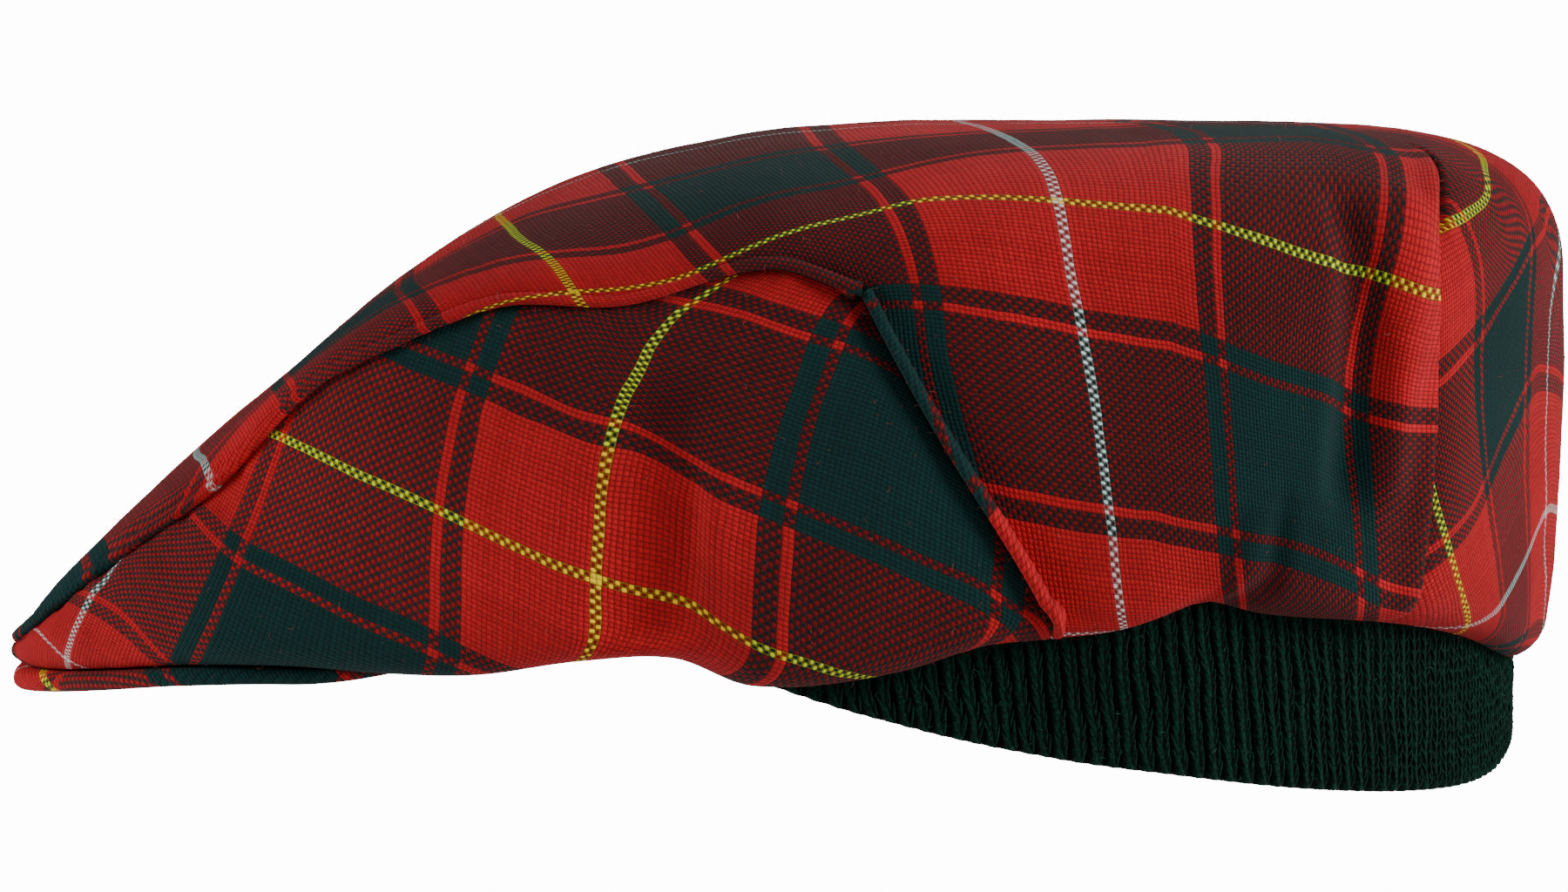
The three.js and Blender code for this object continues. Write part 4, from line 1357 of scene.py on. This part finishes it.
# %% Knitted wool
def knit_wool(name):
    """Dark green yarn: deep colour, paler where hairs stand off, and painted shade almost black between the
    ribs.
    """
    material, tree, shader = new_material(name, roughness=0.95, specular=0.12)
    add, sums, spread = helpers_for(tree)
    uv = add("ShaderNodeUVMap", uv_map="threads").outputs["UV"]
    run = add("ShaderNodeSeparateXYZ", {0: uv}).outputs["X"]
    on_rib = sums("MULTIPLY_ADD", sums("COSINE", sums("MULTIPLY", run, 2 * math.pi / band_rib)), 0.5, 0.5)
    place = add("ShaderNodeTexCoord").outputs["Object"]
    hair = noise_at(add, place, 1800.0, 4.0, roughness=0.7)
    cloudy = noise_at(add, place, 60.0, 2.0)
    share = spread(hair, 0.40, 0.72, 0.0, 1.0)
    colour = blend(add, share, (0.0003, 0.0060, 0.0034, 1.0), (0.002, 0.042, 0.024, 1.0))
    # Painted shade: between the ribs the colour falls to almost black.
    for darker in (spread(cloudy, 0.3, 0.7, 0.75, 1.2), spread(on_rib, 0.15, 0.9, 0.06, 1.0)):
        colour = blend(add, 1.0, colour, darker, how="MULTIPLY")
    tree.links.new(colour, shader.inputs["Base Color"])
    bumps = add("ShaderNodeBump", {"Strength": 0.6, "Distance": 0.0004, "Height": hair})
    tree.links.new(bumps.outputs["Normal"], shader.inputs["Normal"])
    bloom(shader, 0.05, 0.5, (0.5, 0.9, 0.75, 1.0))
    return material


knit = knit_wool("knitted_wool")
band_base.data.materials.append(knit)

# %% [markdown]
# ## Knit stitches
#
# A plain knit stitch looks like a V: its two legs come out of the stitch below, lean apart and dip
# into the stitch above. A rib is a column of such Vs. One leg is a short bent yarn, thick in the
# middle. Geometry Nodes make the leg once, mirror it, and set the V on every point of a carrier, which
# holds one point for each stitch and says which way is up the rib and which way is out.
#
# Thousands of stitches could be copied in a loop, but then the yarn's width or its lean could not be
# tried without making them all again. In a node tree they are named inputs.


# %% A node tree for repeated things
def node_tree(name, sizes):
    """A Geometry Nodes tree with named size inputs, and helpers that add nodes to it."""
    tree = bpy.data.node_groups.new(name, "GeometryNodeTree")
    tree.interface.new_socket(name="Geometry", in_out="INPUT", socket_type="NodeSocketGeometry")
    for label, value in sizes.items():
        kind = "NodeSocketInt" if isinstance(value, int) else "NodeSocketFloat"
        tree.interface.new_socket(name=label, in_out="INPUT", socket_type=kind).default_value = value
    tree.interface.new_socket(name="Geometry", in_out="OUTPUT", socket_type="NodeSocketGeometry")
    entry, leave = tree.nodes.new("NodeGroupInput"), tree.nodes.new("NodeGroupOutput")
    add, sums, spread = helpers_for(tree)

    def finish(geometry, material):
        """The last two steps: real geometry in place of instances, and its material."""
        real = add("GeometryNodeRealizeInstances", {"Geometry": geometry})
        dressed = add("GeometryNodeSetMaterial", {"Geometry": real.outputs[0], "Material": material})
        tree.links.new(dressed.outputs[0], leave.inputs[0])

    return tree, entry.outputs, (add, sums, spread), finish


def grow(carrier, tree, name, sizes):
    """Runs a tree on a carrier and keeps the result as a plain mesh of its own."""
    modifier = carrier.modifiers.new("grow", "NODES")
    modifier.node_group = tree
    sockets = {item.name: item.identifier for item in tree.interface.items_tree if item.in_out == "INPUT"}
    for label, value in sizes.items():
        modifier[sockets[label]] = value
    evaluated = carrier.evaluated_get(bpy.context.evaluated_depsgraph_get())
    mesh = bpy.data.meshes.new_from_object(evaluated)
    mesh.name = name
    carrier.modifiers.remove(modifier)
    print(name, sum(len(polygon.vertices) - 2 for polygon in mesh.polygons), "triangles")
    return new_object(name, mesh)


def carrier_of(name, points, **directions):
    """A mesh of loose points in millimetres that carries named directions for a node tree."""
    mesh = bpy.data.meshes.new(name)
    mesh.vertices.add(len(points))
    mesh.vertices.foreach_set("co", (points * MM).astype(np.float32).ravel())
    for label, values in directions.items():
        kind, field = ("FLOAT_VECTOR", "vector") if values.ndim == 2 else ("FLOAT", "value")
        layer = mesh.attributes.new(label, kind, "POINT")
        layer.data.foreach_set(field, values.astype(np.float32).ravel())
    mesh.update()
    return new_object(name, mesh)


def stand_on_points(add, points, instance, scale):
    """Sets an instance on each point, its Z along the point's up and its Y along its out."""
    up = add("GeometryNodeInputNamedAttribute", {"Name": "up"}, data_type="FLOAT_VECTOR").outputs[0]
    out = add("GeometryNodeInputNamedAttribute", {"Name": "out"}, data_type="FLOAT_VECTOR").outputs[0]
    upright = add("FunctionNodeAlignRotationToVector", {"Vector": up}, axis="Z")
    turned = add("FunctionNodeAlignRotationToVector", {"Rotation": upright.outputs[0], "Vector": out},
                 axis="Y", pivot_axis="Z")
    placed = add("GeometryNodeInstanceOnPoints",
                 {"Points": points, "Instance": instance, "Rotation": turned.outputs[0], "Scale": scale})
    return placed.outputs[0]


# %% The stitch
STITCH = {"Yarn width": 0.00082, "Leg length": 0.0031, "Leg lean": 0.00052, "Gap between legs": 0.00046,
          "Rise": 0.00042}
knit_tree, size, (add, sums, spread), finish_tree = node_tree("knit_stitch", STITCH)


def leg_place(gap, lean, rise, length):
    """A point of the leg, given as shares of the named sizes."""
    across = sums("ADD", sums("MULTIPLY", size["Gap between legs"], gap),
                  sums("MULTIPLY", size["Leg lean"], lean))
    outwards = sums("MULTIPLY", size["Rise"], rise)
    up = sums("MULTIPLY", size["Leg length"], length)
    return add("ShaderNodeCombineXYZ", {0: across, 1: outwards, 2: up}).outputs[0]


leg_curve = add("GeometryNodeCurvePrimitiveBezierSegment", {
    "Resolution": 4,
    "Start": leg_place(gap=0.7, lean=0.0, rise=-1.0, length=0.0),
    "Start Handle": leg_place(gap=1.0, lean=0.0, rise=0.9, length=0.22),
    "End Handle": leg_place(gap=1.0, lean=0.9, rise=1.2, length=0.72),
    "End": leg_place(gap=1.0, lean=1.0, rise=-1.1, length=1.0),
})
# The yarn is thickest in the middle of the leg.
along_leg = add("GeometryNodeSplineParameter").outputs["Factor"]
thickness = spread(sums("SINE", sums("MULTIPLY", along_leg, math.pi)), 0.0, 1.0, 0.45, 1.0)
yarn_radius = sums("MULTIPLY", size["Yarn width"], 0.5)
ring = add("GeometryNodeCurvePrimitiveCircle", {"Resolution": 5, "Radius": yarn_radius})
leg_mesh = add("GeometryNodeCurveToMesh", {"Curve": leg_curve.outputs[0], "Profile Curve": ring.outputs[0],
                                           "Scale": thickness, "Fill Caps": False})
other_leg = add("GeometryNodeTransform", {"Geometry": leg_mesh.outputs[0], "Scale": (-1.0, 1.0, 1.0)})
other_leg = add("GeometryNodeFlipFaces", {"Mesh": other_leg.outputs[0]})
both_legs = add("GeometryNodeJoinGeometry")
for leg in (leg_mesh, other_leg):
    knit_tree.links.new(leg.outputs[0], both_legs.inputs[0])
smooth_legs = add("GeometryNodeSetShadeSmooth", {0: both_legs.outputs[0]})
stitch_scale = add("GeometryNodeInputNamedAttribute", {"Name": "girth"}, data_type="FLOAT").outputs[0]
finish_tree(stand_on_points(add, size["Geometry"], smooth_legs.outputs[0], stitch_scale), knit)
print("stitch tree has", len(knit_tree.nodes), "nodes")

# %% Stitches on both faces of the band
# How far apart the rows of stitches are, how deep the yarn lies in the face, and the length over
# which a stitch's direction is measured, as a share of the band's height.
COURSE = 1.95
YARN_DEPTH = 0.45
AHEAD = 0.06
stitch_dice = np.random.default_rng(4)


def stitch_points(depth, outside):
    """One point for each stitch on the wearer's left, with its directions."""
    # The ribs of the inner face stand between those of the outer one. The rows begin just below the
    # foot and end before the head, and each stitch lies a little off its row.
    ribs = (np.arange(RIBS) + (0.0 if outside else 0.5)) * band_rib + 0.4
    places, ups, outs = [], [], []
    for rib in ribs[ribs < BAND_LENGTH - 0.5]:
        ends = band_point(np.array([rib, rib]), np.array([0.0, 1.0]), depth)
        height = ends[1, 2] - ends[0, 2]
        courses = np.arange(-0.35, height / COURSE - 0.9) * COURSE / height
        courses = courses + stitch_dice.uniform(-0.12, 0.12, len(courses)) * COURSE / height
        runs = np.full(len(courses), rib)
        low = band_point(slanted_run(runs, courses), np.maximum(courses, 0), depth)
        high = band_point(slanted_run(runs, courses + AHEAD), np.maximum(courses, 0) + AHEAD, depth)
        out = outward_of(HEM, np.interp(runs, band_run_dense, band_dense)) * (1 if outside else -1)
        places.append(low)
        ups.append(unit(high - low))
        outs.append(np.concatenate([out, np.zeros((len(out), 1))], -1))
    return np.concatenate(places), np.concatenate(ups), np.concatenate(outs)


band_stitches = []
for outside, depth in ((True, YARN_DEPTH), (False, KNIT - YARN_DEPTH)):
    places, ups, outs = stitch_points(depth, outside)
    ups = unit(ups + stitch_dice.normal(0, 0.035, ups.shape))
    girths = stitch_dice.uniform(0.9, 1.12, len(places)) * (band_rib / RIB_PITCH)
    for side in (1, -1):
        flip = np.array([side, 1, 1])
        carrier = carrier_of("stitch_carrier", places * flip, up=ups * flip, out=outs * flip, girth=girths)
        name = "ear_band_" + ("outer" if outside else "inner") + ("_left" if side > 0 else "_right")
        band_stitches.append(grow(carrier, knit_tree, name, STITCH))
        bpy.data.objects.remove(carrier)

# %% [markdown]
# ## Loose hairs
#
# Wool is never clean cut. Short hairs stand off the threads and blur every outline, and a few long
# pale ones lie across the cloth. One short bent hair is set at random places on a piece, each turned
# its own way. Hair particles would make strands that an exported model cannot carry, so the nodes
# make thin real ones. The seed is fixed, so every run grows the same hairs.

# %% The hair tree
HAIRS = {"Hairs per square metre": 60000.0, "Length": 0.0012, "Thickness": 0.00003, "Lean": 1.1, "Seed": 1}
hair_tree, hair_size, (add, sums, spread), finish_tree = node_tree("loose_hairs", HAIRS)
half_length = sums("MULTIPLY", hair_size["Length"], 0.5)
third = sums("MULTIPLY", hair_size["Length"], 0.3)
hair_curve = add("GeometryNodeCurvePrimitiveBezierSegment", {
    "Resolution": 3,
    "Start": (0.0, 0.0, -0.0002),
    "Start Handle": add("ShaderNodeCombineXYZ", {2: half_length}).outputs[0],
    "End Handle": add("ShaderNodeCombineXYZ", {0: third, 2: half_length}).outputs[0],
    "End": add("ShaderNodeCombineXYZ", {0: half_length, 1: third, 2: half_length}).outputs[0],
})
hair_ring = add("GeometryNodeCurvePrimitiveCircle", {"Resolution": 3, "Radius": hair_size["Thickness"]})
hair_mesh = add("GeometryNodeCurveToMesh", {
    "Curve": hair_curve.outputs[0], "Profile Curve": hair_ring.outputs[0]})
hair_places = add("GeometryNodeDistributePointsOnFaces", {
    "Mesh": hair_size["Geometry"], "Density": hair_size["Hairs per square metre"], "Seed": hair_size["Seed"]})
# Each hair turns its own way and leans by up to so many radians.
hair_lean = add("FunctionNodeRandomValue", {"Seed": hair_size["Seed"]}, data_type="FLOAT_VECTOR")
most_lean = add("ShaderNodeCombineXYZ", {0: hair_size["Lean"], 1: hair_size["Lean"], 2: math.pi})
least_lean = add("ShaderNodeVectorMath", {0: most_lean.outputs[0], "Scale": -1.0}, operation="SCALE")
hair_tree.links.new(least_lean.outputs[0], hair_lean.inputs[0])
hair_tree.links.new(most_lean.outputs[0], hair_lean.inputs[1])
as_turn = add("FunctionNodeEulerToRotation", {0: hair_lean.outputs[0]})
hair_turn = add("FunctionNodeRotateRotation", {"Rotation": hair_places.outputs["Rotation"],
                "Rotate By": as_turn.outputs[0]}, rotation_space="LOCAL")
hair_scale = add("FunctionNodeRandomValue", {2: 0.5, 3: 1.5, "Seed": 5}, data_type="FLOAT")
hairs_placed = add("GeometryNodeInstanceOnPoints", {
    "Points": hair_places.outputs["Points"], "Instance": hair_mesh.outputs[0],
    "Rotation": hair_turn.outputs[0], "Scale": hair_scale.outputs[1]})


def wool_hair(name, first, second):
    """Hairs of one lot of wool: each between two colours."""
    material, tree, shader = new_material(name, roughness=0.8, specular=0.2)
    add, sums, spread = helpers_for(tree)
    lot = noise_at(add, add("ShaderNodeTexCoord").outputs["Object"], 700.0, 1.0)
    colour = blend(add, spread(lot, 0.35, 0.7, 0.0, 1.0), first, second)
    tree.links.new(colour, shader.inputs["Base Color"])
    return material


tartan_hair = wool_hair("tartan_hair", (0.16, 0.010, 0.012, 1.0), (0.26, 0.10, 0.09, 1.0))
knit_hair = wool_hair("knit_hair", (0.003, 0.05, 0.034, 1.0), (0.05, 0.17, 0.13, 1.0))
finish_tree(hairs_placed.outputs[0], tartan_hair)
print("hair tree has", len(hair_tree.nodes), "nodes")

# %% Hairs on each piece
loose_hairs = {}
for number, (piece, density) in enumerate([
    (crown_cloth, 24000.0), (side_cloth_left, 24000.0), (side_cloth_right, 24000.0),
    (peak_cloth, 24000.0), (top_seam_roll, 90000.0), (side_seam_welt, 90000.0), (band_base, 60000.0),
]):
    settings = {**HAIRS, "Hairs per square metre": density, "Seed": 11 + number}
    hairs = grow(piece, hair_tree, piece.name + "_hairs", settings)
    if piece is band_base:
        hairs.data.materials.clear()
        hairs.data.materials.append(knit_hair)
    loose_hairs[piece.name] = hairs

# %% [markdown]
# ## Finishing
#
# A plain pale floor lies well below the cap, which is held up by the head that wears it. Each piece
# is listed with the solid it stands for, which is hidden, and it moves with the cap's one body.

# %% Floor
FLOOR_Z = -0.42
FLOOR_HALF = 1.5
floor_mesh = bpy.data.meshes.new("pale_floor")
floor_corners = [(x * FLOOR_HALF, y * FLOOR_HALF, FLOOR_Z) for x, y in ((-1, -1), (1, -1), (1, 1), (-1, 1))]
floor_mesh.from_pydata(floor_corners, [], [(0, 1, 2, 3)])
floor_mesh.update()
floor_material, _, floor_shader = new_material("pale_floor", roughness=0.9, specular=0.5)
floor_shader.inputs["Base Color"].default_value = (0.86, 0.86, 0.86, 1.0)
floor_mesh.materials.append(floor_material)
new_object("pale_floor", floor_mesh)

# %% What each piece stands for
REPLACES = {
    "crown_panel": [crown_cloth, top_seam_roll, side_seam_welt],
    "side_panel_left": [side_cloth_left],
    "side_panel_right": [side_cloth_right],
    "peak": [peak_cloth],
    "ear_band": [band_base, *band_stitches],
}
for node, pieces in REPLACES.items():
    hairs = [loose_hairs[piece.name] for piece in pieces if piece.name in loose_hairs]
    for piece in pieces + hairs:
        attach(piece, "root")
    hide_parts(node)
    low, high = np.array(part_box(node)) / MM
    mesh = pieces[0].data
    places = np.empty(len(mesh.vertices) * 3)
    mesh.vertices.foreach_get("co", places)
    places = places.reshape(-1, 3) / MM
    print(node, "cloth stands proud by", (low - places.min(0)).round(1), (places.max(0) - high).round(1))
